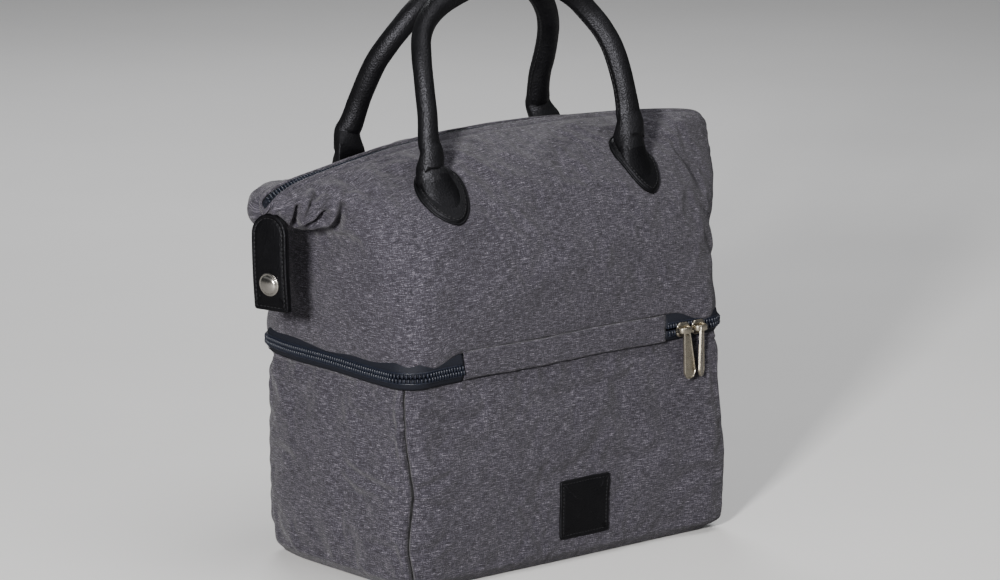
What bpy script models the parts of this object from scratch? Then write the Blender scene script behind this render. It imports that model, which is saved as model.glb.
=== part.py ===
"""Insulated two-compartment cooler tote.

A zipped lower food compartment carries a soft upper compartment with a zipped
mouth, two rolled handles and a leather tab on each end of the mouth zip.
Dimensions are in millimetres here and become metres in the scene.
Origin: centre of the footprint, on the floor. +X is to the right as seen from
the front, +Y to the back, +Z up. The front faces -Y.
"""

import math
from itertools import product

import bmesh
import bpy
import numpy as np
from mathutils import Matrix, Vector

MM = 0.001

# ---------------------------------------------------------------- dimensions
# Body and its layers
HALF_W = 140.0          # half width of the lower compartment
HALF_D = 82.5           # half depth
CORNER_R = 16.0         # plan radius of the body corners
FABRIC_T = 1.2          # outer fabric with backing
FOAM_T = 4.0            # closed-cell insulation
LINER_T = 0.8           # wipe-clean liner
GAP = 0.4               # air between neighbouring layers
LOWER_TOP = 141.0       # top edge of the lower fabric

# Compartment zip: heights (bottom, top) of its strips
LOWER_TAPE_Z = (LOWER_TOP + GAP, 145.0)
LOWER_COIL_Z = (145.3, 147.8)
UPPER_COIL_Z = (148.2, 150.7)
UPPER_TAPE_Z = (151.0, 158.4)
BAND_Z = (LOWER_TAPE_Z[0], 158.6)
TAPE_T = 0.8
COIL_OUT = 2.6          # outer face of the coil, from the body plan
ZIP_LEFT_RUN = 94.0     # zip's left end, measured round the plan from the front centre
ZIP_RIGHT_RUN = 86.0    # zip's right end, measured the other way round
COIL_RIGHT_RUN = 128.5  # right end of the coil, past the sliders

# Joints
TILT_AXIS = (0.0, -83.5, 159.0)       # front band: upper compartment tips forward
MOUTH_AXIS_Y, MOUTH_AXIS_Z = 78.0, 229.0

# Mouth zip: it follows an arc in the XZ plane
TOP_ARC_R = 830.0
TOP_Z = 290.5

# Handles: centre line of the right half, from the foot to the crown, as (x, y, z)
HANDLE_ARCH = {
    "front": [
        (86, -58.5, 276), (87.5, -47, 286), (88, -41.5, 298), (86.8, -37.8, 312),
        (85.6, -34, 325), (83.4, -29.5, 338), (79.5, -23.5, 350), (73.5, -17, 362),
        (64, -12.5, 373), (49, -10.4, 382.5), (27, -9.8, 389), (0, -9.6, 391.5),
    ],
    "rear": [
        (86, 58.5, 276), (85, 53.5, 287), (83, 48.5, 299), (80.6, 42.5, 312),
        (78.6, 36, 325), (75.6, 29.5, 338), (71, 23.2, 350), (64, 17.6, 362),
        (54.5, 13.8, 373), (41, 11.6, 382.5), (22, 10.8, 388.5), (0, 10.6, 390.5),
    ],
}
HANDLE_R = 7.8
HANDLE_BORE = 5.9
CORE_R = 5.4

# End tabs: a strip folded double, its two plies on either side of the tab axis
TAB_T = 1.6
TAB_PLY_GAP = 1.0
TAB_INNER_X = 197.0
TAB_AXIS_X = TAB_INNER_X + TAB_T + TAB_PLY_GAP / 2
TAB_AXIS_Z = 251.0

# The two halves of the bag: name, sign of y, centre column of the upper surface
HALVES = (("front", -1, 0.0), ("rear", 1, 12.0))
# Its two sides: name, sign of x
SIDES = (("left", -1), ("right", 1))


# ---------------------------------------------------------------- scene, materials
for old in list(bpy.data.objects):
    bpy.data.objects.remove(old, do_unlink=True)


def material(name, colour, roughness, metallic=0.0):
    result = bpy.data.materials.new(name)
    result.use_nodes = True
    shader = result.node_tree.nodes["Principled BSDF"]
    shader.inputs["Base Color"].default_value = (*colour, 1.0)
    shader.inputs["Roughness"].default_value = roughness
    shader.inputs["Metallic"].default_value = metallic
    result.diffuse_color = (*colour, 1.0)
    return result


FABRIC = material("heather_fabric", colour=(0.125, 0.118, 0.130), roughness=0.9)
FABRIC_BASE = material("base_fabric", colour=(0.03, 0.03, 0.034), roughness=0.85)
LEATHER = material("black_leather", colour=(0.010, 0.010, 0.011), roughness=0.45)
ZIP_TAPE = material("navy_zip_tape", colour=(0.020, 0.024, 0.040), roughness=0.8)
ZIP_COIL = material("navy_zip_coil", colour=(0.012, 0.016, 0.030), roughness=0.4)
NICKEL = material("warm_nickel", colour=(0.60, 0.56, 0.48), roughness=0.28, metallic=1.0)
FOAM = material("white_foam", colour=(0.85, 0.85, 0.84), roughness=0.8)
LINER = material("silver_liner", colour=(0.62, 0.63, 0.64), roughness=0.35)
BOARD = material("stiffener_board", colour=(0.75, 0.74, 0.70), roughness=0.6)
CORE = material("cord_core", colour=(0.70, 0.66, 0.55), roughness=0.9)


# ---------------------------------------------------------------- pivots
PIVOTS = {}     # name: (empty, its place in metres)


def metres(point):
    return Vector(point) * MM


def pivot(name, at, parent=None):
    """An empty on a joint's axis; the pieces of a moving body hang from it."""
    empty = bpy.data.objects.new(name, None)
    empty.empty_display_size = 0.02
    bpy.context.scene.collection.objects.link(empty)
    world = metres(at)
    if parent:
        parent_empty, parent_world = PIVOTS[parent]
        empty.parent = parent_empty
        empty.location = world - parent_world
    else:
        empty.location = world
    PIVOTS[name] = (empty, world)
    return name


pivot("lower_pivot", (0, 0, 0))
pivot("upper_pivot", TILT_AXIS, "lower_pivot")
for half, y_sign, _ in HALVES:
    mouth = pivot(f"{half}_mouth_pivot", (0, y_sign * MOUTH_AXIS_Y, MOUTH_AXIS_Z), "upper_pivot")
    pivot(f"{half}_handle_pivot", (0, *HANDLE_ARCH[half][0][1:]), mouth)
for side, x_sign in SIDES:
    pivot(f"{side}_tab_pivot", (x_sign * TAB_AXIS_X, 0, TAB_AXIS_Z), "upper_pivot")
pivot("top_slider_pivot", (0, 0, TOP_Z - TOP_ARC_R), "upper_pivot")


# ---------------------------------------------------------------- solids
# A solid is a pair: its points in millimetres in the bag's frame, and its faces.
def place(name, solid, mat, parent, sharp_angle=35.0):
    """Make an object of a solid and hang it from its pivot."""
    points, faces = solid
    empty, world = PIVOTS[parent]
    mesh = bpy.data.meshes.new(name)
    mesh.from_pydata([metres(point) - world for point in points], [], faces)
    bm = bmesh.new()
    bm.from_mesh(mesh)
    bmesh.ops.remove_doubles(bm, verts=bm.verts, dist=1e-6)
    bmesh.ops.recalc_face_normals(bm, faces=bm.faces)
    bm.to_mesh(mesh)
    bm.free()
    mesh.materials.append(mat)
    mesh.shade_smooth()
    mesh.set_sharp_from_angle(angle=math.radians(sharp_angle))
    obj = bpy.data.objects.new(name, mesh)
    bpy.context.scene.collection.objects.link(obj)
    obj.parent = empty
    return obj


def spread(first, last, parts):
    """Evenly spaced values from first to last, both included."""
    return [first + (last - first) * i / parts for i in range(parts + 1)]


def flat(*grids):
    return [point for grid in grids for row in grid for point in row]


def slab(outer, inner, closed=False):
    """Solid between two grids of points; closed joins the last column to the first."""
    rows, cols = len(outer), len(outer[0])
    count = rows * cols
    spans = [(j, (j + 1) % cols) for j in range(cols if closed else cols - 1)]
    faces = []
    for i in range(rows - 1):
        low, high = i * cols, (i + 1) * cols
        for j, k in spans:
            faces.append((low + j, low + k, high + k, high + j))
            faces.append((count + low + j, count + high + j, count + high + k, count + low + k))
    top = (rows - 1) * cols
    for j, k in spans:
        faces.append((j, count + j, count + k, k))
        faces.append((top + j, top + k, count + top + k, count + top + j))
    if not closed:
        for i in range(rows - 1):
            low, high = i * cols, (i + 1) * cols
            faces.append((low, high, count + high, count + low))
            low, high = low + cols - 1, high + cols - 1
            faces.append((low, count + low, count + high, high))
    return flat(outer, inner), faces


def stack(rings):
    """Solid through a series of rings, with a flat cap on the first and the last."""
    around = len(rings[0])
    top = (len(rings) - 1) * around
    faces = [tuple(range(around)), tuple(top + k for k in reversed(range(around)))]
    for low in range(0, top, around):
        high = low + around
        for j in range(around):
            k = (j + 1) % around
            faces.append((low + j, low + k, high + k, high + j))
    return flat(rings), faces


def box(x_limits, y_limits, z_limits):
    faces = [(0, 1, 3, 2), (4, 6, 7, 5), (0, 4, 5, 1), (2, 3, 7, 6), (0, 2, 6, 4), (1, 5, 7, 3)]
    return list(product(x_limits, y_limits, z_limits)), faces


def circle(x, y, z, radius, around):
    """Points of a circle square to X."""
    angles = [2 * math.pi * k / around for k in range(around)]
    return [(x, y + radius * math.cos(a), z + radius * math.sin(a)) for a in angles]


def unit(vectors):
    return vectors / np.linalg.norm(vectors, axis=-1, keepdims=True)


def offset(grid, inset, closed=False):
    """The grid moved inwards. Its columns run front centre, left, back; its rows run upwards."""
    rows, cols = grid.shape[:2]
    if closed:
        along = np.roll(grid, -1, axis=1) - np.roll(grid, 1, axis=1)
    else:
        j = np.arange(cols)
        along = grid[:, np.minimum(j + 1, cols - 1)] - grid[:, np.maximum(j - 1, 0)]
    i = np.arange(rows)
    upwards = grid[np.minimum(i + 1, rows - 1)] - grid[np.maximum(i - 1, 0)]
    return grid - unit(np.cross(upwards, along)) * inset


def sheet(grid, inset, thick, closed=False):
    """Layer of even thickness that lies a given distance inside a grid."""
    return slab(offset(grid, inset, closed), offset(grid, inset + thick, closed), closed)


# ---------------------------------------------------------------- body plan
# A rounded rectangle, walked from the front centre towards the left.
STRAIGHT_X = HALF_W - CORNER_R
STRAIGHT_Y = HALF_D - CORNER_R
ARC = math.pi / 2 * CORNER_R
SEGMENTS = [
    STRAIGHT_X, ARC, 2 * STRAIGHT_Y, ARC, 2 * STRAIGHT_X, ARC, 2 * STRAIGHT_Y, ARC, STRAIGHT_X,
]
PERIMETER = sum(SEGMENTS)
# Corner arcs by segment number: centre x, centre y, angle at the start in degrees
CORNERS = {
    1: (-STRAIGHT_X, -STRAIGHT_Y, -90.0),
    3: (-STRAIGHT_X, STRAIGHT_Y, 180.0),
    5: (STRAIGHT_X, STRAIGHT_Y, 90.0),
    7: (STRAIGHT_X, -STRAIGHT_Y, 0.0),
}
CORNER_PARTS = 4


def plan(run):
    """Point and outward normal at a distance round the plan: x, y, normal x, normal y."""
    run = run % PERIMETER
    segment = 0
    while segment < 8 and run > SEGMENTS[segment]:
        run -= SEGMENTS[segment]
        segment += 1
    if segment == 0:
        return -run, -HALF_D, 0.0, -1.0
    if segment == 2:
        return -HALF_W, -STRAIGHT_Y + run, -1.0, 0.0
    if segment == 4:
        return -STRAIGHT_X + run, HALF_D, 0.0, 1.0
    if segment == 6:
        return HALF_W, STRAIGHT_Y - run, 1.0, 0.0
    if segment == 8:
        return STRAIGHT_X - run, -HALF_D, 0.0, -1.0
    centre_x, centre_y, start = CORNERS[segment]
    angle = math.radians(start) - run / CORNER_R
    normal_x, normal_y = math.cos(angle), math.sin(angle)
    return centre_x + CORNER_R * normal_x, centre_y + CORNER_R * normal_y, normal_x, normal_y


def stations(first, last, step=46.0):
    """Distances from first to last: about a step apart on straights, closer round corners."""
    marks, edge = [0.0], 0.0
    for k, length in enumerate(SEGMENTS * 2):
        parts = CORNER_PARTS if k % 9 in CORNERS else max(1, round(length / step))
        marks += [edge + length * (i + 1) / parts for i in range(parts)]
        edge += length
    marks = [mark - PERIMETER for mark in marks] + marks
    inside = sorted({round(mark, 6) for mark in marks if first + 0.5 < mark < last - 0.5})
    return [first] + inside + [last]


def all_round(step=46.0):
    return stations(0.0, PERIMETER, step)[:-1]


def plan_grid(runs, levels):
    """Grid over the plan: levels are (z, how far out)."""
    places = [plan(run) for run in runs]
    return [[(x + nx * out, y + ny * out, z) for x, y, nx, ny in places] for z, out in levels]


def band(runs, out_limits, z_limits, closed=False):
    """Strip of rectangular section that follows the plan."""
    inner, outer = ([(z, out) for z in z_limits] for out in out_limits)
    return slab(plan_grid(runs, outer), plan_grid(runs, inner), closed)


def plate(inset, z_limits):
    """Flat plate that fills the plan, inset from its edge."""
    return stack(plan_grid(all_round(90.0), [(z, -inset) for z in z_limits]))


def tray(inset, thick, bottom, top):
    """Open-topped tub that follows the plan: walls and floor in one piece."""
    chamfer = 4.0       # slope between floor and wall
    inner = inset + thick
    levels = [
        (bottom, -inset - chamfer),
        (bottom + chamfer, -inset),
        (top, -inset),
        (top, -inner),
        (bottom + chamfer + 0.4 * thick, -inner),
        (bottom + thick, -inset - chamfer - 0.4 * thick),
    ]
    return stack(plan_grid(all_round(70.0), levels))


# ---------------------------------------------------------------- lower compartment
SEAM_GAP = 0.6
# Section of the fabric wall: z, how far out, then the inner face's lift and depth from there
WALL_PROFILE = [
    (2.0, -3.2, 0.9, 0.8),
    (3.6, -1.2, 0.6, FABRIC_T),
    (8.0, 0.0, 0.2, FABRIC_T),
    (75.0, 0.0, 0.0, FABRIC_T),
    (LOWER_TOP, 0.0, 0.0, FABRIC_T),
]


def lower_walls():
    """Four fabric panels that meet at the middle of the corners."""
    corner = STRAIGHT_X + ARC / 2
    side_run = ARC + 2 * STRAIGHT_Y
    seams = [
        -corner, corner, corner + side_run, PERIMETER - corner - side_run, PERIMETER - corner,
    ]
    outer = [(z, out) for z, out, _, _ in WALL_PROFILE]
    inner = [(z + lift, out - depth) for z, out, lift, depth in WALL_PROFILE]
    for name, start, end in zip(("front", "left", "rear", "right"), seams, seams[1:]):
        runs = stations(start + SEAM_GAP / 2, end - SEAM_GAP / 2)
        solid = slab(plan_grid(runs, outer), plan_grid(runs, inner))
        place(f"lower_{name}_panel", solid, FABRIC, "lower_pivot")


def lower_inside():
    """Base plates, insulation tub, liner tub and the binding on their rim."""
    foam_inset = FABRIC_T + GAP
    liner_inset = foam_inset + FOAM_T + GAP
    place("base_panel", plate(4.2, (0.0, 1.6)), FABRIC_BASE, "lower_pivot")
    place("base_board", plate(6.5, (2.2, 4.7)), BOARD, "lower_pivot")
    place("lower_foam", tray(foam_inset, FOAM_T, 5.2, 140.2), FOAM, "lower_pivot")
    place("lower_liner", tray(liner_inset, LINER_T, 9.7, 138.6), LINER, "lower_pivot")
    binding = band(all_round(), (-7.4, -1.8), (LOWER_TAPE_Z[0], 142.6), closed=True)
    place("lower_rim_binding", binding, ZIP_TAPE, "lower_pivot")


def compartment_zip():
    """Zip round the sides and back, and the fabric band that closes the gap at the front."""
    tape_runs = stations(ZIP_LEFT_RUN, PERIMETER - ZIP_RIGHT_RUN)
    coil_runs = stations(ZIP_LEFT_RUN, PERIMETER - COIL_RIGHT_RUN)
    for level, tape_z, coil_z in (
        ("lower", LOWER_TAPE_Z, LOWER_COIL_Z),
        ("upper", UPPER_TAPE_Z, UPPER_COIL_Z),
    ):
        name, parent = f"compartment_zip_{level}", f"{level}_pivot"
        place(f"{name}_tape", band(tape_runs, (GAP, GAP + TAPE_T), tape_z), ZIP_TAPE, parent)
        place(f"{name}_coil", band(coil_runs, (GAP, COIL_OUT), coil_z), ZIP_COIL, parent)
    clearance = 0.5
    band_runs = stations(-ZIP_RIGHT_RUN + clearance, ZIP_LEFT_RUN - clearance)
    solid = band(band_runs, (GAP, GAP + FABRIC_T), BAND_Z)
    place("hinge_band", solid, FABRIC, "lower_pivot")


def label_patch():
    """Leather patch low on the front, right of centre."""
    centre_x, centre_z = 12.0, 37.5
    width, height, thick = 44.0, 41.0, 1.4
    solid = box(
        (centre_x - width / 2, centre_x + width / 2),
        (-HALF_D - GAP - thick, -HALF_D - GAP),
        (centre_z - height / 2, centre_z + height / 2),
    )
    patch = place("label_patch", solid, LEATHER, "lower_pivot")
    bevel = patch.modifiers.new("edge", "BEVEL")
    bevel.width = 0.5 * MM
    bevel.segments = 1


lower_walls()
lower_inside()
compartment_zip()
label_patch()


# ---------------------------------------------------------------- upper compartment surface
def arc_z(x):
    """Height of the mouth zip's arc."""
    return TOP_Z - (TOP_ARC_R - math.sqrt(TOP_ARC_R ** 2 - x * x))


# Control net of one quarter, as (distance from centre in x, in y, z). Columns run from
# the front centre to the side centre, rows from the compartment zip up to the mouth zip.
NET = [
    [(0, 82.5, 159.2), (56, 82.5, 159.2), (112, 82.3, 159.2), (130, 80.2, 159.2),
     (138.5, 70, 159.2), (139.6, 42, 159.2), (139.6, 0, 159.2)],
    [(0, 82.5, 184), (56, 82.5, 184), (112, 81.4, 184), (130, 78.0, 184),
     (139.0, 66, 184), (141.5, 38, 184), (142.0, 0, 184)],
    [(0, 81.0, 209), (56, 80.6, 209), (112, 78.0, 209), (130, 71.5, 209),
     (138.5, 57, 208), (141.0, 31, 207), (141.5, 0, 206)],
    [(0, 75.0, 231), (56, 74.2, 231), (112, 69.0, 231), (131, 58.5, 230),
     (138.5, 43, 229), (139.5, 22, 227), (139.0, 0, 226)],
    [(0, 64.5, 251), (56, 63.2, 251), (112, 55.5, 250), (134, 43.0, 248.5),
     (145.5, 28, 244), (150.0, 12, 239.5), (150.5, 0, 237)],
    [(0, 48.5, 268.5), (56, 47.0, 267.5), (112, 39.5, 264), (144, 31.5, 260),
     (162.0, 21.0, 252.5), (171.0, 9.5, 244.5), (169.0, 0, 240)],
    [(0, 27.5, 282.5), (56, 26.5, 280.5), (112, 22.0, 275), (156, 20.5, 267),
     (179.0, 17.5, 261.5), (190.0, 11.5, 254.5), (188.0, 0, 247.5)],
    [(0, 5.0, arc_z(0)), (56, 5.0, arc_z(56)), (112, 5.0, arc_z(112)), (164, 5.0, arc_z(164)),
     (185, 5.4, 267.6), (193.2, 5.2, 262), (195.8, 0, 256.5)],
]
TOP_ROW = len(NET) - 1


def net_point(row, column):
    """Control point, mirrored round the bag.

    Column 0 is the front centre, 6 the left side, 12 the rear centre, 18 the right side.
    """
    column = column % 24
    quarter, step = divmod(column, 6)
    x, y, z = NET[row][step if quarter in (0, 2) else 6 - step]
    x_sign = -1 if column <= 12 else 1
    y_sign = -1 if column < 6 or column > 18 else 1
    return np.array((x_sign * x, y_sign * y, z), dtype=float)


def spline(before, start, end, after, t):
    """Catmull-Rom point, a share t of the way from start to end."""
    return 0.5 * (
        2 * start
        + (end - before) * t
        + (2 * before - 5 * start + 4 * end - after) * t * t
        + (3 * start - before - 3 * end + after) * t ** 3
    )


def row_point(row, column):
    """Point on a row of the net; rows past either edge carry on in a straight line."""
    if row < 0:
        return 2 * row_point(0, column) - row_point(1, column)
    if row > TOP_ROW:
        return 2 * row_point(TOP_ROW, column) - row_point(TOP_ROW - 1, column)
    base = math.floor(column)
    return spline(*[net_point(row, base + step) for step in (-1, 0, 1, 2)], column - base)


def upper_surface(column, row):
    """Point of the upper fabric. Columns run round (0..24), rows run up (0..7)."""
    base = min(int(row), TOP_ROW - 1)
    return spline(*[row_point(base + step, column) for step in (-1, 0, 1, 2)], row - base)


def upper_grid(columns, rows):
    return np.array([[upper_surface(column, row) for column in columns] for row in rows])


def column_at(x, row):
    """Column, on the front left, where the surface is |x| away from the centre."""
    low, high = 0.0, 5.0
    for _ in range(40):
        middle = (low + high) / 2
        if -upper_surface(middle, row)[0] < abs(x):
            low = middle
        else:
            high = middle
    return low


# ---------------------------------------------------------------- upper compartment
# The mouth panels reach this many columns either side of the centre, above this row.
FLAP_COLUMNS, FLAP_ROW = 2.0, 3.0
FLAP_PARTS = 8
# Columns from the mouth panel's side towards the side seam, then the seam's edge
SIDE_COLUMNS = [2.5, 3.0, 3.33, 3.67, 4.0, 4.5, 5.0, 5.5]
SEAM_COLUMN = 5.985
MOUTH_HALF_GAP = 0.3    # least distance of the fabric from the plane between the halves
EASE = 0.1              # extra air inside the upper fabric
LOW_ROWS = [0.75, 1.5, 2.25, 2.75]


def half_columns(centre):
    """Columns of one half between the side seams."""
    before = [centre - column for column in reversed(SIDE_COLUMNS)]
    after = [centre + column for column in SIDE_COLUMNS]
    return before + spread(centre - FLAP_COLUMNS, centre + FLAP_COLUMNS, FLAP_PARTS) + after


def kept_apart(grid, y_sign):
    """The grid with its points held on their own side of the plane y = 0."""
    grid = grid.copy()
    grid[..., 1] = y_sign * np.maximum(y_sign * grid[..., 1], MOUTH_HALF_GAP)
    return grid


def body_panel(half, y_sign, centre):
    """Half of the upper fabric, from side seam to side seam, with the mouth panel's window open."""
    columns = [centre - SEAM_COLUMN] + half_columns(centre) + [centre + SEAM_COLUMN]
    rows = [0.0] + LOW_ROWS + spread(FLAP_ROW, TOP_ROW, 7)
    surface = upper_grid(columns, rows)
    outer = kept_apart(surface, y_sign)
    inner = kept_apart(offset(surface, FABRIC_T), y_sign)
    window_row = len(LOW_ROWS) + 1
    window_start = len(SIDE_COLUMNS) + 1
    window_end = window_start + FLAP_PARTS
    width = len(columns)
    count = len(rows) * width
    cells = {
        (i, j) for i in range(len(rows) - 1) for j in range(width - 1)
        if i < window_row or j < window_start or j >= window_end
    }
    faces, edge_uses = [], {}
    for i, j in cells:
        a, b = i * width + j, i * width + j + 1
        c, d = b + width, a + width
        faces += [(a, b, c, d), (count + a, count + d, count + c, count + b)]
        for edge in ((a, b), (b, c), (c, d), (d, a)):
            edge = tuple(sorted(edge))
            edge_uses[edge] = edge_uses.get(edge, 0) + 1
    # An edge with one cell is on the rim and gets a face through the thickness.
    faces += [(a, b, count + b, count + a) for (a, b), uses in edge_uses.items() if uses == 1]
    # The points inside the window are left out.
    used = sorted({k for face in faces for k in face})
    index = {k: new for new, k in enumerate(used)}
    points = flat(outer, inner)
    solid = [points[k] for k in used], [tuple(index[k] for k in face) for face in faces]
    place(f"upper_{half}_panel", solid, FABRIC, "upper_pivot")


def mouth_panel(half, centre):
    """Fabric panel that fills the window, and its lining."""
    parent = f"{half}_mouth_pivot"

    def flap_grid(side_margin, first_row, last_row, row_parts):
        reach = FLAP_COLUMNS - side_margin
        columns = spread(centre - reach, centre + reach, FLAP_PARTS)
        return upper_grid(columns, spread(first_row, last_row, row_parts))

    panel = sheet(flap_grid(0.02, FLAP_ROW + 0.05, TOP_ROW, 7), 0.0, FABRIC_T)
    place(f"{half}_mouth_panel", panel, FABRIC, parent)
    lining = sheet(flap_grid(0.06, FLAP_ROW + 0.22, 6.55, 6), FABRIC_T + GAP, 2.4)
    place(f"{half}_mouth_lining", lining, LINER, parent)


# Closed ring of columns round the whole bag
RING_COLUMNS = half_columns(0.0) + [6.0] + half_columns(12.0) + [18.0]
FOAM_ROWS = [0.06] + LOW_ROWS
LINER_ROWS = FOAM_ROWS[:-1] + [2.7]


def upper_foam():
    surface = upper_grid(RING_COLUMNS, FOAM_ROWS)
    solid = sheet(surface, FABRIC_T + GAP + EASE, FOAM_T, closed=True)
    place("upper_foam", solid, FOAM, "upper_pivot")


def upper_liner():
    """Liner tub: walls inside the foam and a flat floor."""
    floor_z = 157.0
    surface = upper_grid(RING_COLUMNS, LINER_ROWS)
    inset = FABRIC_T + FOAM_T + 2 * GAP + EASE

    def wall_face(depth, bottom):
        """Offset surface with its lowest row repeated at the floor."""
        grid = offset(surface, depth, closed=True)
        foot = grid[:1].copy()
        foot[..., 2] = bottom
        return np.concatenate([foot, grid])

    outer = wall_face(inset, floor_z)
    inner = wall_face(inset + LINER_T, floor_z + LINER_T)
    points, faces = slab(outer, inner, closed=True)
    cols = len(RING_COLUMNS)
    count = len(outer) * cols
    # The faces between the two lowest rings give way to a floor.
    faces = [face for face in faces if not all(k % count < cols for k in face)]
    faces.append(tuple(range(cols)))
    faces.append(tuple(count + k for k in reversed(range(cols))))
    place("upper_liner", (points, faces), LINER, "upper_pivot")


for half, y_sign, centre in HALVES:
    body_panel(half, y_sign, centre)
    mouth_panel(half, centre)
upper_foam()
upper_liner()
place("divider_foam", plate(6.6, (151.4, 156.4)), FOAM, "upper_pivot")
place("divider_lining", plate(4.6, (150.0, 150.9)), LINER, "upper_pivot")


# ---------------------------------------------------------------- mouth zip
MOUTH_OPEN_X = 110.5            # half length of the tapes and coils that open
MOUTH_END_X = (112.6, 183.0)    # the fixed ends run between these
MOUTH_TAPE_RISE = (-3.7, -2.9)  # measured square to the mouth's top edge
MOUTH_COIL_RISE = (-2.6, -0.2)


def mouth_line(x):
    """Height of the upper fabric's top edge at x."""
    return upper_surface(column_at(x, TOP_ROW), TOP_ROW)[2]


def mouth_strip(x_limits, y_limits, rises, parts):
    """Bar that follows the mouth's top edge, between two rises from it."""
    sides = ([[], []], [[], []])
    for x in spread(*x_limits, parts):
        z = mouth_line(x)
        slope = (mouth_line(x + 1) - mouth_line(x - 1)) / 2
        nx, _, nz = unit(np.array((-slope, 0.0, 1.0)))
        for grid, y in zip(sides, y_limits):
            for row, rise in zip(grid, rises):
                row.append((x + nx * rise, y, z + nz * rise))
    return slab(*sides)


for half, y_sign, _ in HALVES:
    for part, depth, rises, mat in (
        ("tape", 7.0, MOUTH_TAPE_RISE, ZIP_TAPE),
        ("coil", 2.8, MOUTH_COIL_RISE, ZIP_COIL),
    ):
        y_limits = (y_sign * depth, y_sign * 0.25)
        solid = mouth_strip((-MOUTH_OPEN_X, MOUTH_OPEN_X), y_limits, rises, 10)
        place(f"mouth_zip_{half}_{part}", solid, mat, f"{half}_mouth_pivot")
for side, x_sign in SIDES:
    x_limits = sorted(x_sign * x for x in MOUTH_END_X)
    solid = mouth_strip(x_limits, (-2.6, 2.6), MOUTH_COIL_RISE, 6)
    place(f"mouth_zip_{side}_end", solid, ZIP_COIL, "upper_pivot")


# ---------------------------------------------------------------- handle leaves
LEAF_X = 84.0
LEAF_ROW = 4.42             # surface row of the leaf's centre
ROW_PITCH = 26.0            # millimetres of leaf to one surface row
LEAF_HALF_W, LEAF_HALF_L = 18.0, 27.0
LEAF_TAPER = 0.12           # share by which one end is narrower and the other wider
LEAF_FACES = (0.8, 2.6)     # lift of the under and upper face off the panel


def lifted(point, height):
    """The point moved up and away from the plane y = 0."""
    y = point[1]
    lean = math.copysign(max(0.25, abs(y) / 80.0), y)
    return point + unit(np.array((0.0, lean, 1.0 - abs(y) / 95.0))) * height


def leaf(name, leaf_x, centre, parent):
    """Egg-shaped leather leaf that lies on the mouth panel under a handle leg."""
    rings, around = 3, 16
    points = []
    for ring in range(1, rings + 1):
        for k in range(around):
            angle = 2 * math.pi * k / around
            taper = 1.0 - LEAF_TAPER * math.cos(angle)
            x = leaf_x + LEAF_HALF_W * math.sin(angle) * taper * ring / rings
            row = LEAF_ROW - LEAF_HALF_L * math.cos(angle) * ring / rings / ROW_PITCH
            column = math.copysign(column_at(x, row), -x)
            points.append(upper_surface(column if centre == 0.0 else centre - column, row))
    count = rings * around
    rim = count - around
    spans = [(k, (k + 1) % around) for k in range(around)]
    faces = []
    for base in (0, count):
        for low in range(base, base + rim, around):
            high = low + around
            faces += [(low + k, low + m, high + m, high + k) for k, m in spans]
        faces.append(tuple(base + k for k in range(around)))
    faces += [(rim + k, rim + m, count + rim + m, count + rim + k) for k, m in spans]
    solid = [lifted(point, height) for height in LEAF_FACES for point in points], faces
    place(name, solid, LEATHER, parent)


for half, _, centre in HALVES:
    for side, x_sign in SIDES:
        leaf(f"{half}_handle_leaf_{side}", x_sign * LEAF_X, centre, f"{half}_mouth_pivot")


# ---------------------------------------------------------------- handles
def tube_rings(path, radius, around):
    """Rings square to the path; their side axis stays square to Y, so they don't twist."""
    rings = []
    for i, point in enumerate(path):
        tangent = unit(path[min(i + 1, len(path) - 1)] - path[max(i - 1, 0)])
        sideways = unit(np.cross(tangent, (0.0, 1.0, 0.0)))
        up = np.cross(sideways, tangent)
        angles = [2 * math.pi * k / around for k in range(around)]
        rings.append([
            point + radius * (math.cos(a) * sideways + math.sin(a) * up) for a in angles
        ])
    return rings


def handle(half):
    """Leather sleeve round a cord core, from the left foot over to the right one."""
    arch = HANDLE_ARCH[half]
    path = np.array([(-x, y, z) for x, y, z in arch] + arch[-2::-1], dtype=float)
    parent = f"{half}_handle_pivot"
    sleeve = slab(tube_rings(path, HANDLE_R, 10), tube_rings(path, HANDLE_BORE, 10), closed=True)
    place(f"{half}_handle_sleeve", sleeve, LEATHER, parent, 60.0)
    place(f"{half}_handle_core", stack(tube_rings(path, CORE_R, 8)), CORE, parent, 60.0)


for half, _, _ in HALVES:
    handle(half)


# ---------------------------------------------------------------- end tabs
TAB_HALF_W = 14.0       # also the radius of the round top
TAB_TOP = 255.0
TAB_FOLD_Z = 192.0      # centre of the fold at the bottom
SNAP_Z = 208.0
SNAP_GAP = 0.3          # from the leather to the snap
# Turned profiles of the snap: radius, height above its seat
SNAP_CAP = [(6.9, 0.0), (7.4, 0.5), (6.9, 1.2), (5.4, 2.1), (3.2, 2.7), (1.2, 2.9)]
SNAP_BASE = [(5.6, 0.0), (5.6, 0.9), (3.0, 1.5)]


def tab_course(radius):
    """One face of the strip: down the outside, round the fold, up the inside, as (x, z, half)."""
    outline = [(z, TAB_HALF_W) for z in (TAB_FOLD_Z, SNAP_Z, 230.0)]
    for angle in spread(0.0, math.radians(80), 5):
        z = TAB_TOP - TAB_HALF_W + TAB_HALF_W * math.sin(angle)
        outline.append((z, TAB_HALF_W * math.cos(angle)))
    fold = [
        (TAB_AXIS_X + radius * math.cos(a), TAB_FOLD_Z - radius * math.sin(a), TAB_HALF_W)
        for a in spread(0.0, math.pi, 6)[1:-1]
    ]
    outside = [(TAB_AXIS_X + radius, z, half_w) for z, half_w in reversed(outline)]
    inside = [(TAB_AXIS_X - radius, z, half_w) for z, half_w in outline]
    return outside + fold + inside


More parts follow.
